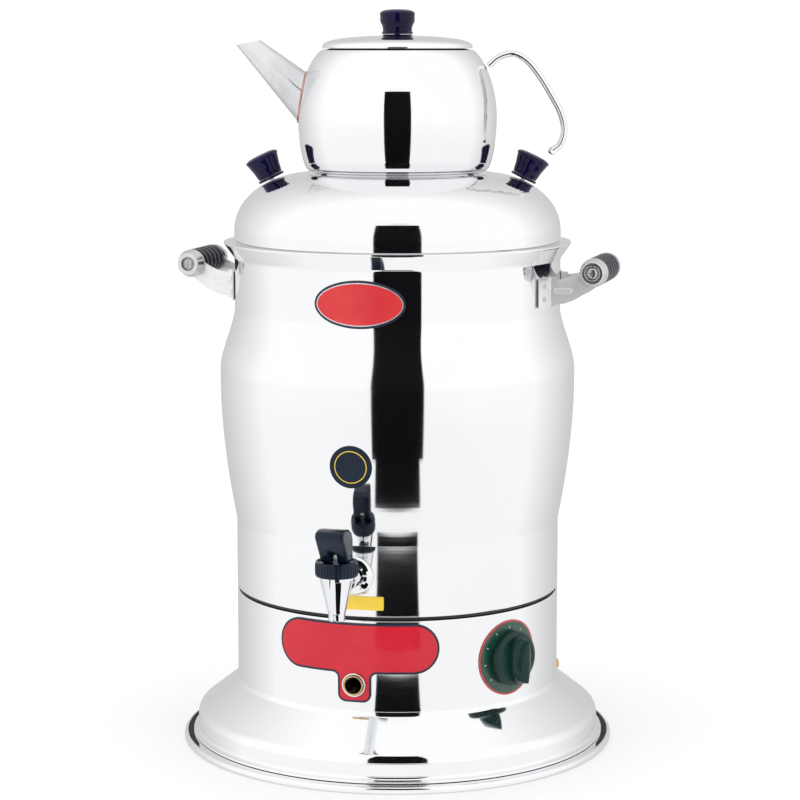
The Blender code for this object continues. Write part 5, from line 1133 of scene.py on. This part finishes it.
def makePotHandle(line):
    values = {"reach": 0.1450, "rise": 0.1050, "width": 0.0170, "thick": 0.0056, "channel": 0.0012,
              "eyeRadius": 0.0036,
              "path": ((0.545, 0.900), (0.607, 0.971), (0.697, 1.0), (0.779, 0.938), (0.855, 0.810),
                       (0.924, 0.657), (0.979, 0.514), (1.0, 0.381), (0.979, 0.262), (0.931, 0.205))}
    points = [(values["reach"] * out, 0, levels["potBottom"] + values["rise"] * up) for out,
              up in values["path"]]
    route = smoothLine(points, 6)
    half, thick = values["width"] / 2, values["thick"] / 2
    section = []
    for index in range(40):
        angle = math.tau * index / 40
        wide = math.copysign(abs(math.cos(angle)) ** 0.45, math.cos(angle)) * half
        deep = math.copysign(abs(math.sin(angle)) ** 0.70, math.sin(angle)) * thick
        if deep < 0:
            # the pressed channel outside
            deep += values["channel"] * max(0, 1 - (wide / (half * 0.72)) ** 2)
        section.append((wide, deep))
    handle = pieceFromBuild("teapotHandle", sweepBuild(route, section, Vector((0, 1, 0))), mirrorSteel, 50,
                            potTurn)
    cutAway(handle, [potCutter(line)], sharp=50)
    end = route[-1]
    eye = [(0, -half * 0.92), (values["eyeRadius"], -half * 0.92, 0.0012),
           (values["eyeRadius"], half * 0.92, 0.0012),
           (0, half * 0.92)]
    place = potTurn @ Matrix.Translation(end) @ Matrix.Rotation(math.pi / 2, 4, "X")
    roll = turnedSolid("handleRoll", eye, mirrorSteel, place, 40)
    fit(joinPieces("teapotHandle", [handle, roll]), "teapot", "polished_steel", "teapot_handle")


def makePotLid():
    values = {"radius": 0.0651, "edge": 0.0010, "rise": 0.0120, "sheet": 0.0008, "plug": 0.0580,
              "plugDepth": 0.0070, "hole": 0.0028, "knobFoot": 0.0135, "steps": 24}
    base = levels["potTop"] + 0.0003
    top = base + values["rise"]
    line = [(values["plug"], base - values["plugDepth"]), (values["plug"], base, 0.0005),
            (values["radius"], base, 0.0003), (values["radius"], base + values["edge"], 0.0006)]
    span = values["rise"] - values["edge"] - 0.0008
    for step in range(2, values["steps"] + 1):
        angle = math.radians(78) * step / values["steps"]
        line.append((values["radius"] * math.cos(angle),
                     base + values["edge"] + span * math.sin(angle) ** 0.72))
    line += [(values["knobFoot"] - 0.0012, top), (values["hole"], top)]
    lid = turned("teapotLid", wallLoop(roundCorners(line, 4), values["sheet"]), mirrorSteel, potTurn, 160)
    fit(lid, "pot_lid", "polished_steel", "teapot_lid")


def makePotKnob():
    values = {"start": 0.6209, "foot": 0.0135, "flange": 0.0022, "waist": 0.0127, "head": 0.0152,
              "height": 0.0213, "studRadius": 0.0024, "studStart": 0.6150}
    start, height = values["start"], values["height"]
    flank = smoothLine([(values["foot"] - 0.0008, start + values["flange"]),
                        (values["waist"], start + 0.0046),
                        (values["waist"] + 0.0006, start + height * 0.34),
                        (values["waist"] + 0.0022, start + height * 0.50),
                        (values["head"] - 0.0002, start + height * 0.70),
                        (values["head"] - 0.0002, start + height * 0.86),
                        (values["head"] * 0.76, start + height * 0.955), (values["head"] * 0.40,
                                                                          start + height * 0.992),
                        (0.0001, start + height)], 6)
    loop = [Vector((0, values["studStart"])), Vector((values["studRadius"], values["studStart"])),
            Vector((values["studRadius"], start)), Vector((values["foot"] - 0.0005, start)),
            Vector((values["foot"], start + 0.0006)), Vector((values["foot"],
                                                              start + values["flange"] - 0.0008)),
            Vector((values["foot"] - 0.0006, start + values["flange"] - 0.0001))] + flank
    loop += [Vector((0, start + height)), Vector((0, values["studStart"]))]
    fit(turned("teapotKnob", loop, navyResin, potTurn, 96), "pot_lid", "navy_plastic", "teapot_knob")


potTurn = Matrix.Rotation(lidTurn, 4, "Z")
potLine = makeTeapot()
makeSpout(potLine)
makePotHandle(potLine)
makePotLid()
makePotKnob()
print("teapot ready")


tapReach = 0.1949
tapPlace = Matrix.Translation((0, -tapReach, 0))
tapFront = radialFrame(0, levels["tapAxis"])


def makeTapBody():
    values = {"bottom": 0.1468, "nozzle": 0.0068, "nozzleLength": 0.0090, "neck": 0.0078, "shoulder": 0.1813,
              "top": 0.1863, "topRadius": 0.0140, "shank": 0.0080, "bore": 0.0048,
              "chamber": 0.0090, "chamberFloor": 0.1658, "seatDepth": 0.0045, "shankBore": 0.0045,
              "notchWidth": 0.0047, "notchHeight": 0.0065, "notchDepth": 0.0020, "slitWidth": 0.0024,
              "slitHeight": 0.0065}
    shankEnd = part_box("tap_body")[1].y
    outline = [(0, values["bottom"]), (values["nozzle"], values["bottom"], 0.0008),
               (values["nozzle"] + 0.0002, values["bottom"] + values["nozzleLength"] * 0.75, 0.0040),
               (values["neck"], values["bottom"] + values["nozzleLength"], 0.0040),
               (values["topRadius"], values["shoulder"], 0.0020), (values["topRadius"], values["top"],
                                                                   0.0006),
               (0, values["top"])]
    body = turned("tapBody", roundCorners(outline + [outline[0]], 5), brightChrome, tapPlace, 96)
    shank = rodCutter(values["shank"], -shankEnd, tapReach, tapFront, 64)
    cutAway(body, [shank], "UNION")
    chamber = [(0, values["bottom"] - overrun), (values["bore"], values["bottom"] - overrun),
               (values["bore"], values["chamberFloor"] - values["seatDepth"]),
               (values["chamber"], values["chamberFloor"]), (values["chamber"], values["top"] + overrun),
               (0, values["top"] + overrun)]
    inside = turned("cutter", chamber + [chamber[0]], None, tapPlace, 64, support=False)
    bore = rodCutter(values["shankBore"], -shankEnd - overrun, tapReach, tapFront, 40)
    front = tapReach + values["topRadius"]
    side = values["notchWidth"] / 2
    notch = boxCutter((-side, -front - overrun, values["shoulder"] - values["notchHeight"]),
                      (side, -front + values["notchDepth"], values["top"] + overrun))
    side = values["slitWidth"] / 2
    slit = boxCutter((-side, -tapReach - values["neck"] - overrun, values["bottom"] - overrun),
                     (side, -tapReach, values["bottom"] + values["slitHeight"]))
    for cutter in (inside, bore, notch, slit):
        cutAway(body, [cutter])
    fit(body, "boiler", "chrome", "tap_body")


def makeTapFlange():
    values = {"radius": 0.0165, "thick": 0.0050, "hole": 0.0083, "gap": 0.0003}
    start, end = tankRadius + values["gap"], -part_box("tap_flange")[0].y
    profile = [(values["hole"], start), (values["radius"], start, 0.0004),
               (values["radius"], start + values["thick"] * 0.16, 0.0008),
               (values["radius"] * 0.90, start + values["thick"] * 0.50, 0.0040),
               (values["radius"] * 0.72, start + values["thick"] * 0.82, 0.0030),
               (values["radius"] * 0.57, end, 0.0006), (values["hole"], end)]
    flange = turnedSolid("tapFlange", profile, brightChrome, tapFront, 96)
    bodyCut = rodCutter(tankRadius + values["gap"], levels["tapAxis"] - 0.03, levels["tapAxis"] + 0.03,
                        None, 224)
    fit(cutAway(flange, [bodyCut]), "boiler", "chrome", "tap_flange")


def makeTapCollar():
    values = {"radius": 0.01775, "bottom": 0.1843, "top": 0.1968, "dish": 0.1954, "rim": 0.0020,
              "socket": 0.0143, "socketTop": 0.1866, "guideBottom": 0.1910, "bore": 0.0030, "spring": 0.0053,
              "ribs": 36, "ribRadius": 0.00075, "ribDepth": 0.0005}
    core = values["radius"] - values["ribDepth"]
    outline = [(values["socket"], values["bottom"]), (core, values["bottom"], 0.0006),
               (core, values["top"], 0.0010), (values["radius"] - values["rim"], values["top"], 0.0005),
               (values["radius"] - values["rim"] - 0.0006, values["dish"], 0.0005), (values["bore"],
                                                                                     values["dish"]),
               (values["bore"], values["guideBottom"]), (values["spring"], values["guideBottom"]),
               (values["spring"], values["socketTop"]), (values["socket"], values["socketTop"])]
    nut = turnedSolid("tapCollar", outline, tealResin, tapPlace, 144)
    height = values["top"] - values["bottom"]
    rib = [(0, 0.0011), (values["ribRadius"] * 0.7, 0.0013), (values["ribRadius"], 0.0022),
           (values["ribRadius"], height - 0.0026), (values["ribRadius"] * 0.7, height - 0.0016),
           (0, height - 0.0013)]
    ribs = turned("tapCollarRibs", rib + [rib[0]], tealResin, None, 10, support=False)
    copiesRound(ribs, values["ribs"], values["radius"] - values["ribRadius"], 0.0, math.tau / values["ribs"],
                tealResin, Matrix.Translation((0, -tapReach, values["bottom"])))
    fit(joinPieces("tapCollar", [nut, ribs]), "boiler", "tap_plastic", "tap_collar")


def sideFrame(width, height):
    # at the pin: local x to the front, local y up, local z across
    turn = Matrix(((0, 0, -1, 0), (-1, 0, 0, 0), (0, 1, 0, 0), (0, 0, 0, 1)))
    return Matrix.Translation((width / 2, -tapReach, height)) @ turn


def extrudedBuild(outline, depth):
    build = bmesh.new()
    face = build.faces.new([build.verts.new((x, y, 0)) for x, y in outline])
    grown = bmesh.ops.extrude_face_region(build, geom=[face])
    top = [item for item in grown["geom"] if isinstance(item, bmesh.types.BMVert)]
    bmesh.ops.translate(build, verts=top, vec=(0, 0, depth))
    bmesh.ops.recalc_face_normals(build, faces=build.faces)
    return build


def bevelled(piece, width, segments, angle=40):
    modifier = piece.modifiers.new("rounded edges", "BEVEL")
    modifier.width = width
    modifier.segments = segments
    modifier.limit_method = "ANGLE"
    modifier.angle_limit = math.radians(angle)
    settle(piece)
    return tidyMesh(piece)


def makeTapLever():
    values = {"pin": 0.2007, "width": 0.0240, "hubRadius": 0.0050, "hubOffset": 0.0045, "height": 0.0245,
              "toe": 0.0235, "toeShares": ((0.90, 0.62), (1.0, 0.78), (0.93, 0.95), (0.60, 1.0),
                                           (0.10, 0.93)),
              "back": 0.0072, "backShares": ((0.55, 0.80), (1.0, 0.55), (1.0, -0.14), (0.70, -0.20)),
              "bevel": 0.0022, "slotWidth": 0.0062, "slotRise": 0.0048, "pinHole": 0.0018}
    corners = [(values["hubOffset"], -values["hubRadius"])]
    for step in range(1, 7):
        angle = -math.pi / 2 + math.pi / 2 * step / 6
        corners.append((values["hubOffset"] + values["hubRadius"] * math.cos(angle),
                        values["hubRadius"] * math.sin(angle)))
    corners += [(values["toe"] * out, values["height"] * up, 0.0040) for out, up in values["toeShares"]]
    corners += [(-values["back"] * out, values["height"] * up, 0.0030) for out, up in values["backShares"]]
    build = extrudedBuild([tuple(spot) for spot in roundCorners(corners, 5, closed=True)], values["width"])
    lever = pieceFromBuild("tapLever", build, tealResin, place=sideFrame(values["width"], values["pin"]))
    bevelled(lever, values["bevel"], 5, 60)
    half = values["slotWidth"] / 2
    slot = boxCutter((-half, -tapReach - values["toe"], values["pin"] - values["hubRadius"] - overrun),
                     (half, -tapReach + values["toe"], values["pin"] + values["slotRise"]))
    hole = rodCutter(values["pinHole"], -0.020, 0.020,
                     Matrix.Translation((0, -tapReach, values["pin"])) @ Matrix.Rotation(math.pi / 2, 4,
                                                                                         "Y"), 24)
    for cutter in (slot, hole):
        cutAway(lever, [cutter])
    fit(lever, "lever", "tap_plastic", "tap_lever")


makeTapBody()
makeTapFlange()
makeTapCollar()
makeTapLever()
print("tap ready")


handleValues = {"reach": 0.1800, "height": 0.4209, "length": 0.0520, "radius": 0.0122, "groove": 0.0013,
                "ribs": 5, "bore": 0.0030, "gap": 0.0003, "armSheet": 0.0020}


def makeGrip(side, word):
    values = handleValues
    place = Matrix.Translation((side * values["reach"], 0, values["height"])) @ Matrix.Rotation(math.pi / 2,
                                                                                                4, "X")
    half = values["length"] / 2
    rib = values["length"] / values["ribs"]
    loop = [(values["bore"], -half)]
    for index in range(values["ribs"]):
        for step in range(13):
            t = step / 12
            swell = math.sin(math.pi * t) ** 0.55
            loop.append((values["radius"] - values["groove"] * (1 - swell), -half + rib * (index + t)))
    loop += [(values["bore"], half), (values["bore"], -half)]
    grip = turned("handleGrip_" + word, loop, gripResin, place, 72, support=False)
    fit(grip, "boiler", "navy_plastic", "handle_grip_" + word)


def makeCap(side, word, end, endWord):
    values = {"length": 0.0120, "face": 0.0095, "rim": 0.0030, "recess": 0.0060, "recessDepth": 0.0030,
              "screwRadius": 0.0022, "screwHead": 0.0050, "headHeight": 0.0022, "screwReach": 0.0150,
              "crossLength": 0.0056, "crossWidth": 0.0010}
    grip = handleValues
    place = Matrix.Translation((side * grip["reach"], 0, grip["height"])) @ Matrix.Rotation(math.pi / 2, 4,
                                                                                            "X")
    if end > 0:
        place = place @ Matrix.Rotation(math.pi, 4, "X")
    start = grip["length"] / 2 + grip["gap"] * 2 + grip["armSheet"]
    last = start + values["length"]
    hole, floor = values["screwRadius"] + 0.0004, last - values["recessDepth"]
    cap = [(hole, start), (grip["radius"], start, 0.0006), (grip["radius"], start + values["rim"], 0.0010),
           (values["face"], last, 0.0010), (values["recess"], last, 0.0006), (values["recess"] - 0.0003,
                                                                              floor, 0.0005),
           (hole, floor)]
    name = word + "_" + endWord
    fit(turnedSolid("handleCap_" + name, cap, brushedSteel, place, 80), "boiler", "brushed_steel",
        "handle_cap_" + name)
    low = floor + grip["gap"]
    high = low + values["headHeight"]
    tip = grip["length"] / 2 - values["screwReach"]
    screw = [(0, tip), (values["screwRadius"], tip, 0.0004), (values["screwRadius"], low),
             (values["screwHead"], low),
             (values["screwHead"], low + 0.0006, 0.0004), (values["screwHead"] * 0.72, high - 0.0003,
                                                           0.0030), (0, high)]
    piece = turned("handleScrew_" + name, roundCorners(screw + [screw[0]], 4), zincPlate, place, 48)
    wide, thin = values["crossLength"] / 2, values["crossWidth"] / 2
    deep = low + values["headHeight"] / 3
    for across, up in ((wide, thin), (thin, wide)):
        cutAway(piece, [boxCutter((-across, -up, deep), (across, up, high + overrun), place)])
    fit(piece, "boiler", "zinc_steel", "handle_screw_" + name)


def arcPoints(centre, radius, start, end, steps):
    return [(centre[0] + radius * math.cos(start + (end - start) * step / steps),
             centre[1] + radius * math.sin(start + (end - start) * step / steps)) for step in range(steps + 1)]


def makeArm(side, word, end, endWord):
    values = {"footHeight": 0.4034, "footTall": 0.0250, "footWidth": 0.0220, "height": 0.0210, "eye": 0.0105,
              "eyeStart": math.radians(-60), "eyeEnd": math.radians(144), "hole": 0.0026, "bend": 0.0018,
              "rivetRadius": 0.0024, "rivetHeight": 0.0012, "rivetStep": 0.0110, "ribLength": 0.0170,
              "ribWidth": 0.0056, "ribRise": 0.0009}
    grip = handleValues
    face = grip["length"] / 2 + grip["gap"]
    sheet = grip["armSheet"]
    surface = tankRadius + grip["gap"]
    low = values["footHeight"] - values["footTall"] / 2
    high = values["footHeight"] + values["footTall"] / 2
    start = math.asin(face / surface)
    sweep = values["footWidth"] / surface
    inner = arcPoints((0, 0), surface, start, start + sweep, 10)
    outer = arcPoints((0, 0), surface + sheet, start + sweep, math.asin((face + sheet) / (surface + sheet)),
                      10)
    reach = grip["reach"] + values["eye"]
    plan = inner + outer[:-1] + [(*outer[-1], values["bend"])]
    plan += [(reach, face + sheet), (reach, face)]
    plan[0] = (*plan[0], values["bend"])
    plan = roundCorners(plan, 5, closed=True)
    outline = [(side * spot.x, end * spot.y) for spot in plan]
    tall = grip["height"] + values["eye"] + overrun - low
    name = word + "_" + endWord
    strap = pieceFromBuild("handleArm_" + name, extrudedBuild(outline, tall), armPaintedLightSteel,
                           place=Matrix.Translation((0, 0, low)))
    armStart = surface + sheet * 2
    eye = arcPoints((grip["reach"], grip["height"]), values["eye"], values["eyeStart"], values["eyeEnd"], 20)
    bottom, top = [], []
    for step in range(13):
        t = step / 12
        x = armStart + (grip["reach"] - armStart) * t
        rise = (grip["height"] - values["footHeight"]) * t ** 2
        bottom.append((x, values["footHeight"] - values["height"] / 2 + rise))
        top.append((x, values["footHeight"] + values["height"] / 2 + rise))
    footEdge = (surface + sheet) * math.cos(start + sweep)
    sideView = [(footEdge - 0.001, low), (footEdge + 0.002, low), (armStart, low)] + bottom[:-2] + eye
    sideView += list(reversed(top[:-3])) + [(armStart, high), (footEdge + 0.002, high),
                                            (footEdge - 0.001, high)]
    sideView = [(side * out, up) for out, up in sideView]
    upright = Matrix.Translation((0, tankRadius, 0)) @ Matrix.Rotation(math.pi / 2, 4, "X")
    view = pieceFromBuild("cutter", extrudedBuild(sideView, tankRadius * 2), None, place=upright)
    cutAway(strap, [view], "INTERSECT")
    bolt = Matrix.Translation((side * grip["reach"], 0, grip["height"])) @ Matrix.Rotation(math.pi / 2, 4,
                                                                                           "X")
    cutAway(strap, [rodCutter(values["hole"], -grip["length"], grip["length"], bolt, 32)])
    bevelled(strap, 0.00045, 2, 50)
    parts = [strap]
    # the long oval rib pressed out of the strap
    ribCentre = Vector((side * (surface + 0.0100), end * (face + sheet), values["footHeight"] + 0.0012))
    build = bmesh.new()
    straight = (values["ribLength"] - values["ribWidth"]) / 2
    rings = []
    for level in range(6):
        lift = math.pi / 2 * level / 5
        radius = max(values["ribWidth"] / 2 * math.cos(lift), 0.0002)
        out = end * (values["ribRise"] * math.sin(lift) - 0.0004)
        ring = []
        for index in range(32):
            angle = math.tau * index / 32
            x = math.copysign(straight, math.cos(angle)) + radius * math.cos(angle)
            ring.append(build.verts.new(ribCentre + Vector((side * x, out, radius * math.sin(angle)))))
        rings.append(ring)
    bridgeRings(build, rings, ends=True)
    parts.append(pieceFromBuild("armRib", build, armPaintedLightSteel))
    angle = side * (math.pi / 2 + end * (start + sweep * 0.6))
    for index in (-1, 1):
        place = radialFrame(angle, values["footHeight"] + index * values["rivetStep"] / 2)
        base = surface + sheet / 2
        head = surface + sheet + values["rivetHeight"]
        rivet = [(0, base), (values["rivetRadius"], base),
                 (values["rivetRadius"], surface + sheet + 0.0003, 0.0002),
                 (values["rivetRadius"] * 0.72, head - 0.0002, 0.0016), (0, head)]
        parts.append(turned("armRivet", roundCorners(rivet + [rivet[0]], 5), zincPlate, place, 28,
                            support=False))
    fit(joinPieces("handleArm_" + name, parts), "boiler", "brushed_steel", "handle_arm_" + name)


for side, word in ((-1, "left"), (1, "right")):
    makeGrip(side, word)
    for end, endWord in ((-1, "front"), (1, "rear")):
        makeCap(side, word, end, endWord)
        makeArm(side, word, end, endWord)
print("side handles ready")


def wrappedPlate(name, outline, surface, angle, start, sheet, material, step=0.0025):
    # bends a flat plate of (across, height) points round the tank
    build = bmesh.new()
    build.faces.new([build.verts.new((spot[0], spot[1], 0)) for spot in outline])
    reach = max(abs(spot[0]) for spot in outline)
    cuts = int(reach / step)
    for index in range(-cuts, cuts + 1):
        bmesh.ops.bisect_plane(build, geom=build.verts[:] + build.edges[:] + build.faces[:],
                               plane_co=(index * step, 0, 0), plane_no=(1, 0, 0))
    grown = bmesh.ops.extrude_face_region(build, geom=build.faces[:])
    top = [item for item in grown["geom"] if isinstance(item, bmesh.types.BMVert)]
    bmesh.ops.translate(build, verts=top, vec=(0, 0, sheet))
    for vertex in build.verts:
        across, height, depth = vertex.co
        radius = surface(height)
        vertex.co = bearing(angle + across / radius) * (radius + start + depth) + Vector((0, 0, height))
    return pieceFromBuild(name, build, material, 30)


def insetOutline(points, distance):
    # the outline runs anticlockwise, so its inside is on the left
    moved = []
    for index, here in enumerate(points):
        before = points[index - 1]
        after = points[(index + 1) % len(points)]
        first = Vector(here) - Vector(before)
        last = Vector(after) - Vector(here)
        normals = [Vector((-way.y, way.x)).normalized() for way in (first, last)]
        mitre = (normals[0] + normals[1]).normalized()
        moved.append(tuple(Vector(here) + mitre * distance / max(mitre.dot(normals[0]), 0.5)))
    return moved


def layers(name, outline, surface, angle, start, layerList):
    # each layer: inset, thickness, material
    return [wrappedPlate(name + str(index), insetOutline(outline, inset) if inset else outline, surface,
                         angle,
                         start, sheet, material) for index, (inset, sheet, material) in enumerate(layerList)]


def straightWall(_height):
    return tankRadius


def makeFrontPlate():
    values = {"length": 0.1440, "top": 0.1325, "bottom": 0.0895, "tabWidth": 0.0288, "tabBottom": 0.0645,
              "corner": 0.0070, "fillet": 0.0050, "border": 0.0019, "gap": 0.0003, "sheet": 0.0008,
              "hole": 0.0089}
    radius = (values["top"] - values["bottom"]) / 2
    straight = values["length"] / 2 - radius
    level = values["top"] - radius
    tab, quarter = values["tabWidth"] / 2, math.pi / 2
    fillet, corner = values["fillet"], values["corner"]
    plan = arcPoints((straight, level), radius, -quarter, quarter, 20)
    plan += arcPoints((-straight, level), radius, quarter, quarter * 3, 20)
    plan += arcPoints((-tab - fillet, values["bottom"] - fillet), fillet, quarter, 0, 7)
    plan += arcPoints((-tab + corner, values["tabBottom"] + corner), corner, math.pi, quarter * 3, 9)
    plan += arcPoints((tab - corner, values["tabBottom"] + corner), corner, -quarter, 0, 9)
    plan += arcPoints((tab + fillet, values["bottom"] - fillet), fillet, math.pi, quarter, 7)
    parts = layers("frontPlate", plan, straightWall, 0, values["gap"],
                   [(0, values["sheet"] * 0.8, borderEnamel), (values["border"], values["sheet"], redEnamel)])
    place = radialFrame(0, levels["portAxis"])
    for part in parts:
        cutAway(part, [rodCutter(values["hole"], *wallCut, place, 48)], sharp=30)
    fit(joinPieces("frontPlate", parts), "boiler", "red_plate", "front_plate")


def makeBadge():
    values = {"length": 0.0780, "height": 0.0400, "level": 0.4004, "bearing": math.radians(1.8),
              "gap": 0.0003, "sheet": 0.0008, "border": 0.0020, "line": 0.0008, "steps": 96}
    oval = [(values["length"] / 2 * math.cos(math.tau * step / values["steps"]),
             values["level"] + values["height"] / 2 * math.sin(math.tau * step / values["steps"]))
            for step in range(values["steps"])]
    sheet = values["sheet"]
    parts = layers("badge", oval, straightWall, values["bearing"], values["gap"],
                   [(0, sheet * 0.7, borderEnamel), (values["border"], sheet * 0.85, silverInk),
                    (values["border"] + values["line"], sheet, badgeEnamel)])
    fit(joinPieces("ovalBadge", parts), "boiler", "red_plate", "oval_badge")


def makeDisc():
    values = {"radius": 0.0180, "level": 0.2666, "sheet": 0.0008, "gap": 0.0003, "ringOuter": 0.0042,
              "ringInner": 0.0050, "steps": 72}
    outline = [(values["radius"] * math.cos(math.tau * step / values["steps"]),
                values["level"] + values["radius"] * math.sin(math.tau * step / values["steps"]))
               for step in range(values["steps"])]
    sheet = values["sheet"]
    parts = layers("disc", outline, tankSide, 0, values["gap"],
                   [(0, sheet * 0.7, discEnamel), (values["ringOuter"], sheet * 0.85, yellowFilm),
                    (values["ringInner"], sheet, discEnamel)])
    fit(joinPieces("discLabel", parts), "boiler", "blue_label", "disc_label")


def makeSticker():
    values = {"half": 0.0250, "low": 0.1441, "high": 0.1557, "corner": 0.0010, "gap": 0.0003, "sheet": 0.0004}
    corners = [(-values["half"], values["low"], values["corner"]),
               (values["half"], values["low"], values["corner"]),
               (values["half"], values["high"], values["corner"]), (-values["half"], values["high"],
                                                                    values["corner"])]
    outline = [tuple(spot) for spot in roundCorners(corners, 4, closed=True)]
    fit(wrappedPlate("volumeLabel", outline, straightWall, 0, values["gap"], values["sheet"], yellowFilm),
        "boiler", "yellow_label", "volume_label")


def makeDial():
    values = {"radius": 0.0325, "greenInset": 0.0015, "hole": 0.0085, "sheet": 0.0004, "gap": 0.0003,
              "marks": 9, "markCircle": 0.0262, "markStart": math.radians(-40), "markStep": math.radians(32.5),
              "markLength": 0.0022, "markWidth": 0.0008, "steps": 96}
    level = levels["gasAxis"]
    outline = [(values["radius"] * math.cos(math.tau * step / values["steps"]),
                level + values["radius"] * math.sin(math.tau * step / values["steps"]))
               for step in range(values["steps"])]
    sheet = values["sheet"]
    parts = layers("dial", outline, straightWall, gasBearing, values["gap"],
                   [(0, sheet * 0.75, dialRed), (values["greenInset"], sheet * 0.9, dialGreen)])
    place = radialFrame(gasBearing, level)
    for part in parts:
        cutAway(part, [rodCutter(values["hole"], *wallCut, place, 48)], sharp=30)
    for index in range(values["marks"]):
        angle = values["markStart"] + values["markStep"] * index
        out = Vector((math.cos(angle), math.sin(angle)))
        side = Vector((-out.y, out.x)) * values["markWidth"] / 2
        centre = Vector((0, level)) + out * values["markCircle"]
        reach = out * values["markLength"] / 2
        mark = [centre - reach - side, centre + reach - side, centre + reach + side, centre - reach + side]
        parts.append(wrappedPlate("mark", [tuple(spot) for spot in mark], straightWall, gasBearing,
                                  values["gap"],
                                  sheet, dialInk))
    fit(joinPieces("knobDial", parts), "boiler", "dial_print", "knob_bezel")


def makePort():
    values = {"bore": 0.0072, "sleeve": 0.0086, "start": 0.1264, "end": 0.1474, "ringInner": 0.0089,
              "ringOuter": 0.0102, "ringStart": 0.1438, "ringThick": 0.0022}
    place = radialFrame(0, levels["portAxis"])
    sleeve = [(values["bore"], values["start"], 0.0003), (values["sleeve"], values["start"], 0.0003),
              (values["sleeve"], values["end"], 0.0004), (values["bore"], values["end"], 0.0004)]
    fit(turnedSolid("portSleeve", sleeve, turnedBrass, place, 72), "boiler", "brass", "lighting_port_sleeve")
    start = values["ringStart"]
    end = start + values["ringThick"]
    ring = [(values["ringInner"], start), (values["ringOuter"], start, 0.0004),
            (values["ringOuter"], end, 0.0009),
            (values["ringInner"], end, 0.0003)]
    fit(turnedSolid("portRing", ring, brightChrome, place, 72), "boiler", "chrome", "lighting_port_ring")


def makeGasKnob():
    values = {"back": 0.1469, "radius": 0.0235, "edge": 0.0040, "face": 0.1524, "faceRadius": 0.0200,
              "hollowRadius": 0.0190, "hollow": 0.0025, "gripRise": 0.0140, "gripLength": 0.0400,
              "gripWidth": 0.0190, "gripRidge": 0.0022, "socketRadius": 0.0033, "socketEnd": 0.1597}
    place = radialFrame(gasBearing, levels["gasAxis"])
    floor = values["back"] + values["hollow"]
    outline = [(0, floor), (values["hollowRadius"], floor), (values["hollowRadius"], values["back"]),
               (values["radius"], values["back"], 0.0006), (values["radius"],
                                                            values["back"] + values["edge"], 0.0016),
               (values["faceRadius"], values["face"], 0.0030), (0, values["face"])]
    knob = turned("gasKnob", roundCorners(outline + [outline[0]], 6), greenResin, place, 96)
    build = bmesh.new()
    rings = []
    sunk = (floor + values["face"]) / 2
    top = values["face"] + values["gripRise"]
    stages = [(1.0, 1.0, sunk), (1.0, 1.0, values["face"])]
    for step in range(1, 13):
        t = step / 12
        narrow = values["gripRidge"] / values["gripWidth"]
        width = 1 - (1 - narrow) * t ** 2.6
        stages.append((1 - 0.08 * t ** 2, width, values["face"] + values["gripRise"] * (1 - (1 - t) ** 1.15)))
    for lengthShare, widthShare, height in stages:
        ring = []
        for side in (1, -1):
            for index in range(24):
                t = index / 24
                ring.append(build.verts.new((side * values["gripWidth"] / 2 * widthShare * math.sin(math.pi * t),
                                             side * values["gripLength"] / 2 * lengthShare * math.cos(math.pi * t),
                                             min(height, top))))
        rings.append(ring)
    bridgeRings(build, rings, ends=True)
    grip = pieceFromBuild("gasKnobGrip", build, greenResin, 40, place)
    cutAway(knob, [grip], "UNION")
    cutAway(knob,
            [rodCutter(values["socketRadius"], values["back"] - overrun, values["socketEnd"], place, 32)])
    fit(knob, "knob", "knob_plastic", "gas_knob")


def makeNipple():
    values = {"start": 0.14846, "end": 0.17796, "radius": 0.0050, "bore": 0.0025, "barb": 0.0014,
              "barbs": 2, "barbLength": 0.0050, "height": 0.0375}
    place = radialFrame(nippleBearing, values["height"])
    barbStart = values["end"] - values["barbs"] * values["barbLength"]
    outline = [(values["bore"], values["start"]), (values["radius"], values["start"], 0.0004),
               (values["radius"], barbStart)]
    for index in range(values["barbs"]):
        begin = barbStart + index * values["barbLength"]
        outline += [(values["radius"] + values["barb"], begin, 0.0003),
                    (values["radius"], begin + values["barbLength"])]
    outline.append((values["bore"], values["end"]))
    fit(turnedSolid("gasNipple", outline, turnedBrass, place, 64), "boiler", "brass", "gas_nipple")


makeFrontPlate()
makeBadge()
makeDisc()
makeSticker()
makeDial()
makePort()
makeGasKnob()
makeNipple()
print("plates, port, dial and knob ready")

keepNodes(innerSteel, "tank_bottom", "burner_bracket")
keepNodes(zincPlate, "tap_lock_nut", "tap_stem", "tap_spring", "tap_lever_pin", "gas_valve_spindle",
          "lid_knob_screw_left", "lid_knob_screw_right")
keepNodes(siliconeRubber, "tap_seal", "tap_seat_seal")
keepNodes(turnedBrass, "gas_valve_body", "gas_valve_plug", "gas_jet")
keepNodes(copperTube, "gas_inlet_pipe", "gas_feed_pipe")
keepNodes(castIron, "burner_body", "burner_cap")
